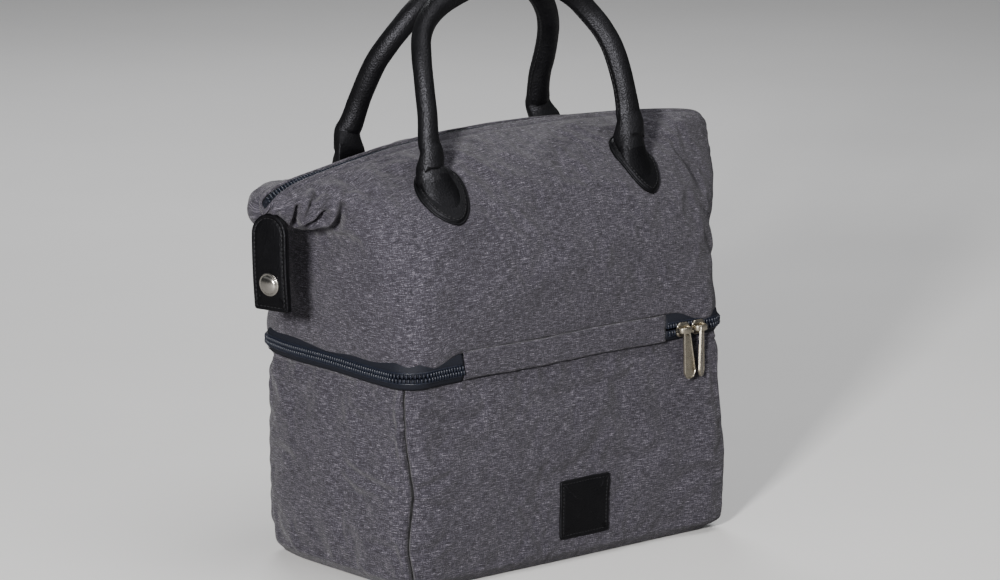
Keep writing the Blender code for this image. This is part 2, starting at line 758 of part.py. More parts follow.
def end_tab(side, x_sign):
    """Leather strip folded at the bottom, round at the top, closed by a domed snap."""
    parent = f"{side}_tab_pivot"
    bore = TAB_PLY_GAP / 2
    reach = bore + TAB_T
    outer, inner = (
        [[(x_sign * x, y_sign * half_w, z) for x, z, half_w in tab_course(radius)]
         for y_sign in (-1, 1)]
        for radius in (reach, bore)
    )
    place(f"{side}_end_tab", slab(outer, inner), LEATHER, parent, 50.0)
    for part, profile, direction in (("cap", SNAP_CAP, 1), ("base", SNAP_BASE, -1)):
        rings = []
        for radius, height in profile:
            x = TAB_AXIS_X + direction * (reach + SNAP_GAP + height)
            rings.append(circle(x_sign * x, 0.0, SNAP_Z, radius, 16))
        place(f"{side}_snap_{part}", stack(rings), NICKEL, parent, 40.0)


for side, x_sign in SIDES:
    end_tab(side, x_sign)


# ---------------------------------------------------------------- zip sliders and pulls
# Both are drawn with the tape in the XZ plane, travel along X and the outside at -Y.
BAR_Y = -5.0            # axis of the slider's bar, which the pull turns on
# Plate outline (x, z), and its layers (y, scale of the outline)
SHIELD = [
    (-5.2, -3.2), (-3.4, -4.4), (3.0, -4.4), (5.2, -2.2),
    (5.2, 2.2), (3.0, 4.4), (-3.4, 4.4), (-5.2, 3.2),
]
SHIELD_LAYERS = [(0.0, 1.0), (-1.6, 1.0), (-2.3, 0.82)]


def moved(points, matrix):
    """Points in millimetres carried by a matrix given in metres."""
    return [tuple(1000.0 * c for c in matrix @ metres(point)) for point in points]


def nickel_piece(name, solid, matrix, parent):
    points, faces = solid
    return place(name, (moved(points, matrix), faces), NICKEL, parent)


def join(target, solids, matrix, parent):
    """Unite a piece with named solids, which stay in the scene as hidden helpers."""
    for k, (name, solid) in enumerate(solids.items()):
        helper = nickel_piece(name, solid, matrix, parent)
        helper.hide_render = True
        helper.display_type = "WIRE"
        union = target.modifiers.new(f"join_{k}", "BOOLEAN")
        union.operation = "UNION"
        union.object = helper
        union.solver = "EXACT"


def slider(name, parent, matrix):
    """Slider body: a shield-shaped plate with a bar on two posts."""
    plate_rings = [[(x * scale, y, z * scale) for x, z in SHIELD] for y, scale in SHIELD_LAYERS]
    body = nickel_piece(name, stack(plate_rings), matrix, parent)
    parts = {}
    for k, x in enumerate((-3.6, 3.6)):
        parts[f"{name}_post_{k}"] = box((x - 0.7, x + 0.7), (-1.0, -5.6), (-0.9, 0.9))
    parts[f"{name}_bar"] = stack([circle(x, BAR_Y, 0.0, 0.75, 8) for x in (-4.1, 4.1)])
    join(body, parts, matrix, parent)


def pull(name, parent, length, matrix):
    """Pull: an eye round the slider's bar and a paddle that widens to a round end, along -Z."""
    outer, inner = (
        [circle(x, BAR_Y, 0.0, radius, 12) for x in (-2.2, 2.2)] for radius in (2.3, 1.25)
    )
    body = nickel_piece(name, slab(outer, inner, closed=True), matrix, parent)
    top, bottom = -1.7, -length
    tip_r, half_thick = 4.7, 0.7
    right = [(2.1, top), (2.3, top - 4.0), (3.2, top - 11.0), (4.6, bottom + 6.5)]
    right += [
        (tip_r * math.cos(a), bottom + tip_r - tip_r * math.sin(a))
        for a in spread(0.0, math.pi / 2, 4)
    ]
    outline = right + [(-x, z) for x, z in reversed(right[:-1])]
    faces_y = (BAR_Y - half_thick, BAR_Y + half_thick)
    paddle = stack([[(x, y, z) for x, z in outline] for y in faces_y])
    join(body, {f"{name}_paddle": paddle}, matrix, parent)


def compartment_sliders():
    """Two sliders side by side near the right end of the front, their pulls hanging down."""
    y = -HALF_D - 1.6
    z = (LOWER_COIL_Z[1] + UPPER_COIL_Z[0]) / 2 - 1.0
    for side, x in (("left", 100.0), ("right", 114.0)):
        matrix = Matrix.Translation(metres((x, y, z)))
        slider_pivot = pivot(f"{side}_slider_pivot", (x, y, z), "lower_pivot")
        pull_pivot = pivot(f"{side}_pull_pivot", (x, y + BAR_Y, z), slider_pivot)
        slider(f"{side}_slider", slider_pivot, matrix)
        pull(f"{side}_pull", pull_pivot, 34.0, matrix)


def mouth_slider():
    """Slider parked at the right end of the mouth zip, plate up, its pull towards the back."""
    x = 158.0
    lift = 0.9              # plate above the arc
    droop = 14.0            # degrees the pull hangs below the plate's own plane
    slope = math.asin(x / TOP_ARC_R)
    matrix = (
        Matrix.Translation(metres((x, 0.0, arc_z(x) + lift)))
        @ Matrix.Rotation(slope, 4, "Y")
        @ Matrix.Rotation(math.radians(180), 4, "Z")
        @ Matrix.Rotation(math.radians(-90), 4, "X")
    )
    bar = (0.0, BAR_Y, 0.0)
    pull_matrix = (
        matrix
        @ Matrix.Translation(metres(bar))
        @ Matrix.Rotation(math.radians(droop), 4, "X")
        @ Matrix.Translation(-metres(bar))
    )
    pull_pivot = pivot("top_pull_pivot", moved([bar], matrix)[0], "top_slider_pivot")
    slider("top_slider", "top_slider_pivot", matrix)
    pull("top_pull", pull_pivot, 30.0, pull_matrix)


compartment_sliders()
mouth_slider()
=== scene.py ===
"""Looks of a soft insulated cooler tote, built round its CAD frame.

The bag stands on z = 0. The front faces -y, its left side is at -x, and z is up.
Below is a box with rounded corners; a zip parts it from the upper compartment,
whose walls lean in to a zipped mouth along x and run out into an ear at each end.
Lengths are millimetres in the bag's frame until a mesh is made. "Dist" is a
distance round the plan of the box, from the front centre towards the left.
"""

import math

import bpy
import bmesh
import numpy as np
from mathutils import Matrix, Vector


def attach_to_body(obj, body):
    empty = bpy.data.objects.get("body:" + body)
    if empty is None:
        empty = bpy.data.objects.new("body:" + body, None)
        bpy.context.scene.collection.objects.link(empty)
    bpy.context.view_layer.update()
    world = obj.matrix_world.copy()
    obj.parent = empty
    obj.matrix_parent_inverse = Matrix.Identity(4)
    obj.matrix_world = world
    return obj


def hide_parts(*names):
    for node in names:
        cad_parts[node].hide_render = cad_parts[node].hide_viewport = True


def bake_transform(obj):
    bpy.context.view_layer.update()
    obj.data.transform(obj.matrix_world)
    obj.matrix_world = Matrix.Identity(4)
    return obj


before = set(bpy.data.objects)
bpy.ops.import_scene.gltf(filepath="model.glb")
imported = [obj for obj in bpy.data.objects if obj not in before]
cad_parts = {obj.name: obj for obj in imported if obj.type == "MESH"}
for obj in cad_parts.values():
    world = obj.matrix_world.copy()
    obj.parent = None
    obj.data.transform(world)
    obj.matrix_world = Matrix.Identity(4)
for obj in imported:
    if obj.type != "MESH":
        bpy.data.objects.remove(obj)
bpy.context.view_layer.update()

TAU = 2 * math.pi
MM = 0.001
UP = np.array([0, 0, 1.0])

# ---------------------------------------------------------------- driving sizes
# rounded rectangle of the box in plan
HALF_W, HALF_D, CORNER_R = 140.0, 82.5, 16.0
# the compartment zip runs round the back between these places on the front
ZIP_LEFT_X, ZIP_RIGHT_X = 94.0, 86.0
CHAIN_Z = 148.0
TOOTH_PITCH = 2.35
# side view of the mouth: an arc over the middle
TOP_ARC_R, TOP_Z = 830.0, 290.5
# columns of the upper surface at the middle of the front and the rear
FRONT_COL, REAR_COL, ALL_COLS = 0.0, 12.0, 24
LABEL_X, LABEL_Z, LABEL_HALF_W, LABEL_HALF_H = 12.0, 37.5, 22.0, 20.5
HANDLE_X, HANDLE_R = 88.5, 7.6
# step between mesh points of the fabric, and beside the corner seams
FINE = 1.7
SEAM_FINE = 0.5


# ---------------------------------------------------------------- numbers and curves
def smooth(low, high, x):
    """0 below low, 1 above high, with a soft step between."""
    t = np.clip((np.asarray(x, float) - low) / (high - low), 0, 1)
    return t * t * (3 - 2 * t)


def bell(x, centre, width):
    return np.exp(-(((np.asarray(x, float) - centre) / width) ** 2))


def unit(vectors):
    size = np.linalg.norm(vectors, axis=-1, keepdims=True)
    return vectors / np.where(size < 1e-9, 1, size)


def lattice_value(ix, iy, iz, seed):
    """Repeatable value in -1..1 for each point of a whole-number lattice."""
    mask = 0xFFFFFFFF
    mixed = (ix * 374761393 + iy * 668265263 + iz * 2147483647 + seed * 974634777) & mask
    mixed = ((mixed ^ (mixed >> 13)) * 1274126177) & mask
    mixed = (mixed ^ (mixed >> 16)) & mask
    return mixed / 2147483647.5 - 1.0


def noise(points, scale, seed):
    """Smooth value noise in -1..1, with features about scale mm wide."""
    place = np.asarray(points, float) / scale + 1000.0
    cell = np.floor(place).astype(np.int64)
    t = place - cell
    t = t * t * t * (t * (t * 6 - 15) + 10)
    total = 0.0
    for corner in np.ndindex(2, 2, 2):
        weight = 1.0
        for axis, step in enumerate(corner):
            weight = weight * (t[..., axis] if step else 1 - t[..., axis])
        ix, iy, iz = (cell[..., axis] + corner[axis] for axis in range(3))
        total = total + weight * lattice_value(ix, iy, iz, seed)
    return total


def layered_noise(points, scale, seed, octaves):
    """Noise in layers, each half as wide and half as strong as the last."""
    return sum(0.5**k * noise(points, scale / 2**k, seed + 17 * k) for k in range(octaves))


def lengths_along(path):
    """Distance of each point from the start of a path."""
    return np.concatenate([[0], np.cumsum(np.linalg.norm(np.diff(path, axis=0), axis=1))])


def catmull(p0, p1, p2, p3, t):
    bend = 2 * p0 - 5 * p1 + 4 * p2 - p3
    return 0.5 * (2 * p1 + (p2 - p0) * t + bend * t * t + (3 * p1 - p0 - 3 * p2 + p3) * t**3)


def curve_through(points, per):
    """Smooth curve through points, with per steps between neighbours."""
    p = np.asarray(points, float)
    p = np.vstack([2 * p[0] - p[1], p, 2 * p[-1] - p[-2]])
    curve = [
        catmull(p[i - 1], p[i], p[i + 1], p[i + 2], k / per)
        for i in range(1, len(p) - 2)
        for k in range(per)
    ]
    return np.array(curve + [p[-2]])


def resample(path, step):
    """The path at even distances of about step, and those distances."""
    along = lengths_along(path)
    count = max(2, int(round(along[-1] / step)) + 1)
    even = np.linspace(0, along[-1], count)
    columns = [np.interp(even, along, path[:, k]) for k in range(path.shape[1])]
    return np.stack(columns, 1), even


def ring_angles(count):
    return np.arange(count) * TAU / count


def at_height(outline, height):
    """2-D outline with a third column added."""
    return np.column_stack([outline, np.broadcast_to(height, len(outline))])


# ---------------------------------------------------------------- meshes
def set_all(target, **values):
    for name, value in values.items():
        setattr(target, name, value)


def make(name, verts, faces, mat, uv=None, slot=None):
    """Smooth mesh object from points and UVs in millimetres."""
    mesh = bpy.data.meshes.new(name)
    verts = np.asarray(verts, float).reshape(-1, 3) * MM
    mesh.from_pydata(verts.tolist(), [], [tuple(int(i) for i in f) for f in faces])
    mesh.update()
    mesh.materials.append(mat)
    mesh.shade_smooth()
    if uv is not None:
        layer = mesh.uv_layers.new(name="fab")
        corners = np.zeros(len(mesh.loops), np.int32)
        mesh.loops.foreach_get("vertex_index", corners)
        uv = (np.asarray(uv, float).reshape(-1, 2) * MM)[corners]
        layer.data.foreach_set("uv", uv.astype(np.float32).ravel())
    obj = bpy.data.objects.new(name, mesh)
    bpy.context.scene.collection.objects.link(obj)
    return obj


def grid_faces(rows, cols, closed=False, flip=False):
    """Quads of a rows x cols grid; closed joins the last column to the first."""
    j = np.arange(cols if closed else cols - 1)
    k = (j + 1) % cols
    out = []
    for i in range(rows - 1):
        a, b = i * cols + j, i * cols + k
        c, d = (i + 1) * cols + k, (i + 1) * cols + j
        out.append(np.stack([a, b, c, d] if flip else [a, d, c, b], 1))
    return np.concatenate(out)


def capped_faces(rings, count, flip=False):
    """Faces of a stack of rings of count points, with both ends closed."""
    faces = [tuple(quad) for quad in grid_faces(rings, count, True, flip)]
    first = tuple(range(count))
    last = tuple((rings - 1) * count + k for k in range(count))
    return faces + ([first[::-1], last] if flip else [first, last[::-1]])


def thicken(obj, thick):
    """Real thickness, inwards from the drawn surface."""
    modifier = obj.modifiers.new("thickness", "SOLIDIFY")
    set_all(modifier, thickness=thick * MM, offset=-1.0, use_even_offset=False)


def grid(name, points, mat, uv, thick, slot, flip=False):
    """Sheet from a rows x cols x 3 array."""
    rows, cols = points.shape[:2]
    obj = make(name, points, grid_faces(rows, cols, flip=flip), mat, uv, slot)
    thicken(obj, thick)
    return obj


def merge(parts):
    """Joins (verts, faces) pairs into one."""
    verts, faces, start = [], [], 0
    for part_verts, part_faces in parts:
        part_verts = np.asarray(part_verts, float).reshape(-1, 3)
        verts.append(part_verts)
        faces += [tuple(int(i) + start for i in face) for face in part_faces]
        start += len(part_verts)
    return np.concatenate(verts), faces


def fix_normals(obj, weld=False):
    """Turns all faces outwards; weld first joins points that coincide."""
    bm = bmesh.new()
    bm.from_mesh(obj.data)
    if weld:
        bmesh.ops.remove_doubles(bm, verts=bm.verts, dist=1e-6)
    bmesh.ops.recalc_face_normals(bm, faces=bm.faces)
    bm.to_mesh(obj.data)
    bm.free()


def loft(name, rings, mat, slot):
    """Closed tube from rings, each end closed with a fan."""
    rings = np.asarray(rings)
    n, count = rings.shape[:2]
    faces = [tuple(quad) for quad in grid_faces(n, count, True)]
    centres = [rings[0].mean(0), rings[-1].mean(0)]
    for j in range(count):
        k = (j + 1) % count
        faces.append((n * count, j, k))
        faces.append((n * count + 1, (n - 1) * count + k, (n - 1) * count + j))
    obj = make(name, np.concatenate([rings.reshape(-1, 3), centres]), faces, mat, slot=slot)
    fix_normals(obj)
    return obj


def attach(obj, body, *nodes):
    """The object moves with one CAD body and stands in for the given nodes."""
    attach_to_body(obj, body)
    if nodes:
        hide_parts(*nodes)


def soft_blend(obj, weights):
    """Bakes the object's placement into its mesh and spreads the weights to one per vertex, which
    nothing then uses.

    There is one weight per vertex, or per equal run of vertices."""
    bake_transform(obj)
    weights = np.asarray(weights, np.float32).ravel()
    weights = np.repeat(weights, len(obj.data.vertices) // len(weights))


# ---------------------------------------------------------------- materials
def linear(*rgb):
    """Linear RGBA of an sRGB colour in 0..255."""
    def channel(c):
        c /= 255.0
        return c / 12.92 if c <= 0.04045 else ((c + 0.055) / 1.055) ** 2.4

    return tuple(channel(c) for c in rgb) + (1.0,)


def gain(colour, factor, lift=0.0):
    return tuple(c * factor + lift for c in colour[:3]) + (1,)


def fill_ramp(node, stops):
    elements = node.color_ramp.elements
    while len(elements) < len(stops):
        elements.new(0.5)
    for element, (position, colour) in zip(elements, stops):
        element.position = position
        element.color = colour


class Look:
    """A material being built; the methods add nodes and give back their outputs."""

    def __init__(self, name):
        self.mat = bpy.data.materials.new(name)
        self.mat.use_nodes = True
        self.tree = self.mat.node_tree
        self.tree.nodes.clear()
        out = self.add("ShaderNodeOutputMaterial")
        self.bsdf = self.add("ShaderNodeBsdfPrincipled")
        self.tree.links.new(self.bsdf.outputs[0], out.inputs["Surface"])

    def add(self, kind, **props):
        node = self.tree.nodes.new(kind)
        set_all(node, **props)
        return node

    def feed(self, node, inputs):
        """Links or sets inputs, given by number or name ("_" stands for a space)."""
        for key, value in inputs.items():
            socket = node.inputs[key.replace("_", " ") if isinstance(key, str) else key]
            if isinstance(value, bpy.types.NodeSocket):
                self.tree.links.new(value, socket)
            else:
                socket.default_value = value

    def surface(self, **inputs):
        """Sets the surface shader and gives back the finished material."""
        self.feed(self.bsdf, inputs)
        return self.mat

    def scaled(self, vector, scale):
        node = self.add("ShaderNodeMapping")
        self.feed(node, {"Vector": vector, "Scale": scale})
        return node.outputs[0]

    def uv(self, scale_x, scale_y):
        source = self.add("ShaderNodeUVMap", uv_map="fab")
        return self.scaled(source.outputs[0], (scale_x, scale_y, 1.0))

    def uv_xy(self):
        node = self.add("ShaderNodeSeparateXYZ")
        self.feed(node, {0: self.uv(1, 1)})
        return node.outputs[0], node.outputs[1]

    def obj(self, scale=(1.0, 1.0, 1.0)):
        source = self.add("ShaderNodeTexCoord")
        return self.scaled(source.outputs["Object"], scale)

    def noise(self, vector, detail, rough, scale=1.0, distortion=0.0):
        node = self.add("ShaderNodeTexNoise")
        values = {"Scale": scale, "Detail": detail, "Roughness": rough}
        self.feed(node, {**values, "Distortion": distortion, "Vector": vector})
        return node.outputs["Fac"]

    def cells(self, vector, scale):
        node = self.add("ShaderNodeTexVoronoi", feature="F1")
        self.feed(node, {"Scale": scale, "Vector": vector})
        return node.outputs["Distance"]

    def math(self, operation, *values):
        node = self.add("ShaderNodeMath", operation=operation)
        self.feed(node, dict(enumerate(values)))
        return node.outputs[0]

    def total(self, *terms):
        """Sum of terms; a pair is (value, factor)."""
        result = None
        for term in terms:
            if isinstance(term, tuple):
                term = self.math("MULTIPLY", *term)
            result = term if result is None else self.math("ADD", result, term)
        return result

    def ramp(self, fac, stops):
        node = self.add("ShaderNodeValToRGB")
        fill_ramp(node, stops)
        self.feed(node, {"Fac": fac})
        return node.outputs["Color"]

    def bump(self, height, distance, strength):
        """distance is the bump's height in metres."""
        node = self.add("ShaderNodeBump")
        self.feed(node, {"Strength": strength, "Distance": distance, "Height": height})
        return node.outputs[0]


def heather(name):
    """Melange twill: two-tone threads, long slubs and a fine weave in the bump."""
    look = Look(name)
    fine = look.noise(look.uv(1500, 2100), detail=2.0, rough=0.6)
    slub = look.noise(look.uv(125, 1420), detail=3.0, rough=0.6)
    short_slub = look.noise(look.uv(270, 2500), detail=2.0, rough=0.55)
    upright = look.noise(look.uv(1700, 210), detail=2.0, rough=0.5)
    broad = look.noise(look.uv(22, 40), detail=3.0, rough=0.5)
    tone = look.total((slub, 0.26), (short_slub, 0.27), (fine, 0.32), (upright, 0.15),
                      (look.math("SUBTRACT", broad, 0.5), 0.035))
    colour = look.ramp(tone, [
        (0.395, linear(18, 17, 22)),
        (0.465, linear(44, 42, 49)),
        (0.535, linear(69, 66, 75)),
        (0.620, linear(146, 142, 152)),
    ])
    # thread spacing in metres across and up the cloth
    weave = look.math("MULTIPLY", *[
        look.math("SINE", look.math("MULTIPLY", axis, TAU / spacing))
        for axis, spacing in zip(look.uv_xy(), (0.00062, 0.00050))
    ])
    height = look.total((weave, 0.35), (tone, 1.4))
    return look.surface(
        Base_Color=colour, Roughness=0.88, Specular_IOR_Level=0.25, Sheen_Weight=0.12,
        Sheen_Roughness=0.5, Normal=look.bump(height, distance=0.00016, strength=0.75))


def leather(name, rgb, grain, rough, shine):
    look = Look(name)
    vector = look.obj()
    pores = look.cells(vector, 760.0)
    fine_pores = look.cells(vector, 1500.0)
    wide = look.noise(vector, scale=60.0, detail=4.0, rough=0.55)
    fine = look.noise(vector, scale=1400.0, detail=3.0, rough=0.6)
    crease_scale = (150.0, 150.0, 420.0)
    creases = look.noise(look.obj(crease_scale), detail=5.0, rough=0.62, distortion=0.6)
    base = linear(*rgb)
    colour = look.ramp(look.total((wide, 0.65), (fine, 0.35)), [
        (0.35, gain(base, 0.62)), (0.52, base), (0.72, gain(base, 1.75, lift=0.0008))])
    height = look.total((pores, 0.9 * grain), (fine_pores, 0.4 * grain), (creases, 0.9 * grain))
    return look.surface(
        Base_Color=colour, Roughness=look.total((creases, 0.30), rough - 0.13),
        Specular_IOR_Level=shine, Specular_Tint=(0.90, 0.90, 1.0, 1),
        Normal=look.bump(height, distance=0.00034, strength=0.7))


def tape_cloth(name, rgb):
    """Woven tape with slanting ribs."""
    look = Look(name)
    across, along = look.uv_xy()
    ribs = look.math("SINE", look.total((across, TAU / 0.0011), (along, TAU / 0.0009)))
    threads = look.noise(look.uv(900, 1500), detail=2.0, rough=0.6)
    base = linear(*rgb)
    colour = look.ramp(threads, [(0.3, gain(base, 0.6)), (0.55, base), (0.8, gain(base, 1.9))])
    height = look.total((ribs, 0.5), threads)
    return look.surface(
        Base_Color=colour, Roughness=0.72, Specular_IOR_Level=0.35,
        Normal=look.bump(height, distance=0.00014, strength=0.7))


def plastic(name, rgb, rough):
    look = Look(name)
    mottle = look.noise(look.obj(), scale=700.0, detail=2.0, rough=0.5)
    base = linear(*rgb)
    return look.surface(
        Base_Color=look.ramp(mottle, [(0.3, gain(base, 0.75)), (0.7, gain(base, 1.35))]),
        Roughness=look.total((mottle, 0.16), rough - 0.08),
        Normal=look.bump(mottle, distance=0.0001, strength=0.4))


def metal(name, rgb, rough):
    look = Look(name)
    wide = look.noise(look.obj(), scale=190.0, detail=3.0, rough=0.5)
    brushed = look.noise(look.obj((900.0, 900.0, 5200.0)), detail=3.0, rough=0.6)
    base = linear(*rgb)
    return look.surface(
        Base_Color=look.ramp(wide, [(0.3, gain(base, 0.78)), (0.7, base)]), Metallic=1.0,
        Roughness=look.total((brushed, 0.18), look.total((wide, 0.12), rough - 0.13)),
        Normal=look.bump(look.total(brushed, wide), distance=0.00006, strength=0.35))


def foil(name, rgb, rough):
    look = Look(name)
    vector = look.obj()
    big = look.noise(vector, scale=55.0, detail=5.0, rough=0.62, distortion=0.8)
    fine = look.noise(vector, scale=420.0, detail=3.0, rough=0.6, distortion=0.4)
    base = linear(*rgb)
    return look.surface(
        Base_Color=look.ramp(big, [(0.3, gain(base, 0.80)), (0.7, gain(base, 1.12))]),
        Metallic=0.55, Roughness=look.total((fine, 0.25), rough - 0.08),
        Normal=look.bump(look.total(big, (fine, 0.25)), distance=0.0011, strength=0.55))


def thread(name, rgb):
    look = Look(name)
    fibres = look.noise(look.obj(), scale=2600.0, detail=2.0, rough=0.5)
    base = linear(*rgb)
    return look.surface(
        Base_Color=look.ramp(fibres, [(0.3, gain(base, 0.6)), (0.7, gain(base, 1.3))]),
        Roughness=0.6, Normal=look.bump(fibres, distance=0.0001, strength=0.6))


FABRIC = heather("heather_fabric_look")
LEATHER = leather("black_leather_look", rgb=(8, 8, 9), grain=1.0, rough=0.46, shine=0.34)
LEATHER_PATCH = leather(
    "black_leather_patch_look", rgb=(6, 6, 7), grain=0.7, rough=0.50, shine=0.24)
LEATHER_FLAT = leather(
    "black_leather_flat_look", rgb=(4, 4, 5), grain=0.9, rough=0.48, shine=0.20)
TAPE = tape_cloth("navy_tape_look", rgb=(17, 20, 31))
BINDING = tape_cloth("binding_look", rgb=(24, 25, 31))
# near-black cloth used only for strips that paint shade into the corner seams' grooves
PAINTED_SEAM_SHADE = tape_cloth("painted_seam_shade_look", rgb=(7, 7, 9))
COIL = plastic("navy_coil_look", rgb=(20, 25, 38), rough=0.43)
NICKEL = metal("warm_nickel_look", rgb=(206, 198, 180), rough=0.26)
SNAP_NICKEL = metal("snap_nickel_look", rgb=(214, 210, 202), rough=0.17)
FOIL = foil("silver_liner_look", rgb=(176, 178, 182), rough=0.34)
BASE_CLOTH = tape_cloth("base_fabric_look", rgb=(20, 20, 23))
DARK_THREAD = thread("dark_thread_look", rgb=(20, 20, 24))
GREY_THREAD = thread("grey_thread_look", rgb=(70, 68, 76))

# ---------------------------------------------------------------- plan of the box
STRAIGHT_X, STRAIGHT_Y = HALF_W - CORNER_R, HALF_D - CORNER_R
ARC = math.pi / 2 * CORNER_R
SEGMENTS = [
    STRAIGHT_X, ARC, 2 * STRAIGHT_Y, ARC, 2 * STRAIGHT_X, ARC, 2 * STRAIGHT_Y, ARC, STRAIGHT_X]
PERIMETER = sum(SEGMENTS)
CORNER_MID = STRAIGHT_X + ARC / 2
SIDE_RUN = ARC + 2 * STRAIGHT_Y
# corner seams: left front, left rear, right rear, right front
SEAMS = np.array([
    CORNER_MID, CORNER_MID + SIDE_RUN, PERIMETER - CORNER_MID - SIDE_RUN, PERIMETER - CORNER_MID])
ZIP_START, ZIP_END = ZIP_LEFT_X, PERIMETER - ZIP_RIGHT_X

# segment: start point, direction, outward normal
PLAN_STRAIGHTS = {
    0: ((0, -HALF_D), (-1, 0), (0, -1)),
    2: ((-HALF_W, -STRAIGHT_Y), (0, 1), (-1, 0)),
    4: ((-STRAIGHT_X, HALF_D), (1, 0), (0, 1)),
    6: ((HALF_W, STRAIGHT_Y), (0, -1), (1, 0)),
    8: ((STRAIGHT_X, -HALF_D), (-1, 0), (0, -1)),
}
# segment: signs of the arc's centre, starting angle in degrees
PLAN_ARCS = {1: (-1, -1, -90.0), 3: (-1, 1, 180.0), 5: (1, 1, 90.0), 7: (1, -1, 0.0)}


def plan(dist):
    """Points and outward normals in 2-D at distances round the plan."""
    dist = np.mod(np.asarray(dist, float), PERIMETER)
    edges = np.concatenate([[0], np.cumsum(SEGMENTS)])
    segment = np.clip(np.searchsorted(edges, dist, side="right") - 1, 0, 8)
    along = dist - edges[segment]
    points = np.zeros(dist.shape + (2,))
    normals = np.zeros(dist.shape + (2,))
    for number, (start, direction, normal) in PLAN_STRAIGHTS.items():
        mine = segment == number
        points[mine] = np.array(start) + along[mine][:, None] * np.array(direction)
        normals[mine] = normal
    for number, (sign_x, sign_y, start_angle) in PLAN_ARCS.items():
        mine = segment == number
        angle = math.radians(start_angle) - along[mine] / CORNER_R
        normal = np.stack([np.cos(angle), np.sin(angle)], -1)
        points[mine] = np.array([sign_x * STRAIGHT_X, sign_y * STRAIGHT_Y]) + CORNER_R * normal
        normals[mine] = normal
    return points, normals


def around(dist, z, out):
    """3-D points and normals at height z, standing out from the plan."""
    dist, z, out = np.broadcast_arrays(*(np.asarray(a, float) for a in (dist, z, out)))
    points, normals = plan(dist)
    points = points + normals * out[..., None]
    level = np.zeros(normals.shape[:-1] + (1,))
    return np.concatenate([points, z[..., None]], -1), np.concatenate([normals, level], -1)


def wrapped(difference):
    """The shorter way round the plan, with its sign."""
    return np.mod(difference + PERIMETER / 2, PERIMETER) - PERIMETER / 2


def near_seam(dist):
    """Signed distance to the nearest corner seam, and which seam that is."""
    gap = wrapped(dist[..., None] - SEAMS)
    seam = np.abs(gap).argmin(-1)
    return np.take_along_axis(gap, seam[..., None], -1)[..., 0], seam


# ---------------------------------------------------------------- upper surface
def arc_z(x):
    return TOP_Z - (TOP_ARC_R - np.sqrt(TOP_ARC_R**2 - x * x))


# Net of one quarter (x, y, z), for +x and +y. Rows go from the zip up to the mouth,
# columns from the middle of the front or rear to the middle of the side.
NET = [
    [(0, 82.5, 159.2), (56, 82.5, 159.2), (112, 82.3, 159.2), (130, 80.2, 159.2),
     (138.5, 70, 159.2), (139.6, 42, 159.2), (139.6, 0, 159.2)],
    [(0, 82.5, 184), (56, 82.5, 184), (112, 81.4, 184), (130, 78.0, 184),
     (139.0, 66, 184), (141.5, 38, 184), (142.0, 0, 184)],
    [(0, 81.0, 209), (56, 80.6, 209), (112, 78.0, 209), (130, 71.5, 209),
     (138.5, 57, 208), (141.0, 31, 207), (141.5, 0, 206)],
    [(0, 75.0, 231), (56, 74.2, 231), (112, 69.0, 231), (131, 58.5, 230),
     (138.5, 43, 229), (139.5, 22, 227), (139.0, 0, 226)],
    [(0, 64.5, 251), (56, 63.2, 251), (112, 55.5, 250), (134, 43.0, 248.5),
     (145.5, 28, 244), (150.0, 12, 239.5), (150.5, 0, 237)],
    [(0, 48.5, 268.5), (56, 47.0, 267.5), (112, 39.5, 264), (144, 31.5, 260),
     (162.0, 21.0, 252.5), (171.0, 9.5, 244.5), (169.0, 0, 240)],
    [(0, 27.5, 282.5), (56, 26.5, 280.5), (112, 22.0, 275), (156, 20.5, 267),
     (179.0, 17.5, 261.5), (190.0, 11.5, 254.5), (188.0, 0, 247.5)],
    [(0, 5.0, arc_z(0)), (56, 5.0, arc_z(56)), (112, 5.0, arc_z(112)), (164, 5.0, arc_z(164)),
     (185, 5.4, 267.6), (193.2, 5.2, 262), (195.8, 0, 256.5)],
]

# The right front quarter stands out as a wing: (net row, column) -> point.
WING = {
    (1, 3): (131, 78.0, 184), (1, 4): (141.6, 67, 184), (1, 5): (142.5, 40, 184),
    (2, 3): (134.5, 70.5, 209), (2, 4): (152.5, 54.5, 209), (2, 5): (147, 29, 207),
    (3, 2): (112, 70.0, 231), (3, 3): (140, 59.5, 231),
    (3, 4): (166.5, 42.0, 231), (3, 5): (151, 20, 227),
    (4, 2): (112, 57.5, 250.5), (4, 3): (148, 42.5, 251),
    (4, 4): (180, 23.0, 251), (4, 5): (166, 10.5, 241),
    (5, 2): (112, 41.0, 266), (5, 3): (152, 30.0, 266),
    (5, 4): (183, 16.5, 262), (5, 5): (182, 9.0, 249),
    (6, 1): (56, 27.0, 281.5), (6, 2): (112, 24.5, 279), (6, 3): (157, 21.0, 277),
    (6, 4): (184.5, 13.0, 270.5), (6, 5): (187, 9.0, 258),
    (7, 1): (56, 5.0, arc_z(56) + 1.0), (7, 2): (112, 5.6, arc_z(112) + 4.2),
    (7, 3): (162, 8.6, arc_z(162) + 8.2), (7, 4): (184.0, 8.6, 277), (7, 5): (190.5, 6.5, 265),
}


def full_net():
    """All four quarters: column 0 front centre, 6 left, 12 rear centre, 18 right."""
    net = np.zeros((8, ALL_COLS, 3))
    for i in range(8):
        for j in range(ALL_COLS):
            quarter, k = divmod(j, 6)
            column = 6 - k if quarter % 2 else k
            winged = quarter == 3 and (i, column) in WING
            x, y, z = WING[(i, column)] if winged else NET[i][column]
            net[i, j] = (-x if j <= 12 else x, -y if j < 6 or j > 18 else y, z)
    return net


FULL_NET = full_net()


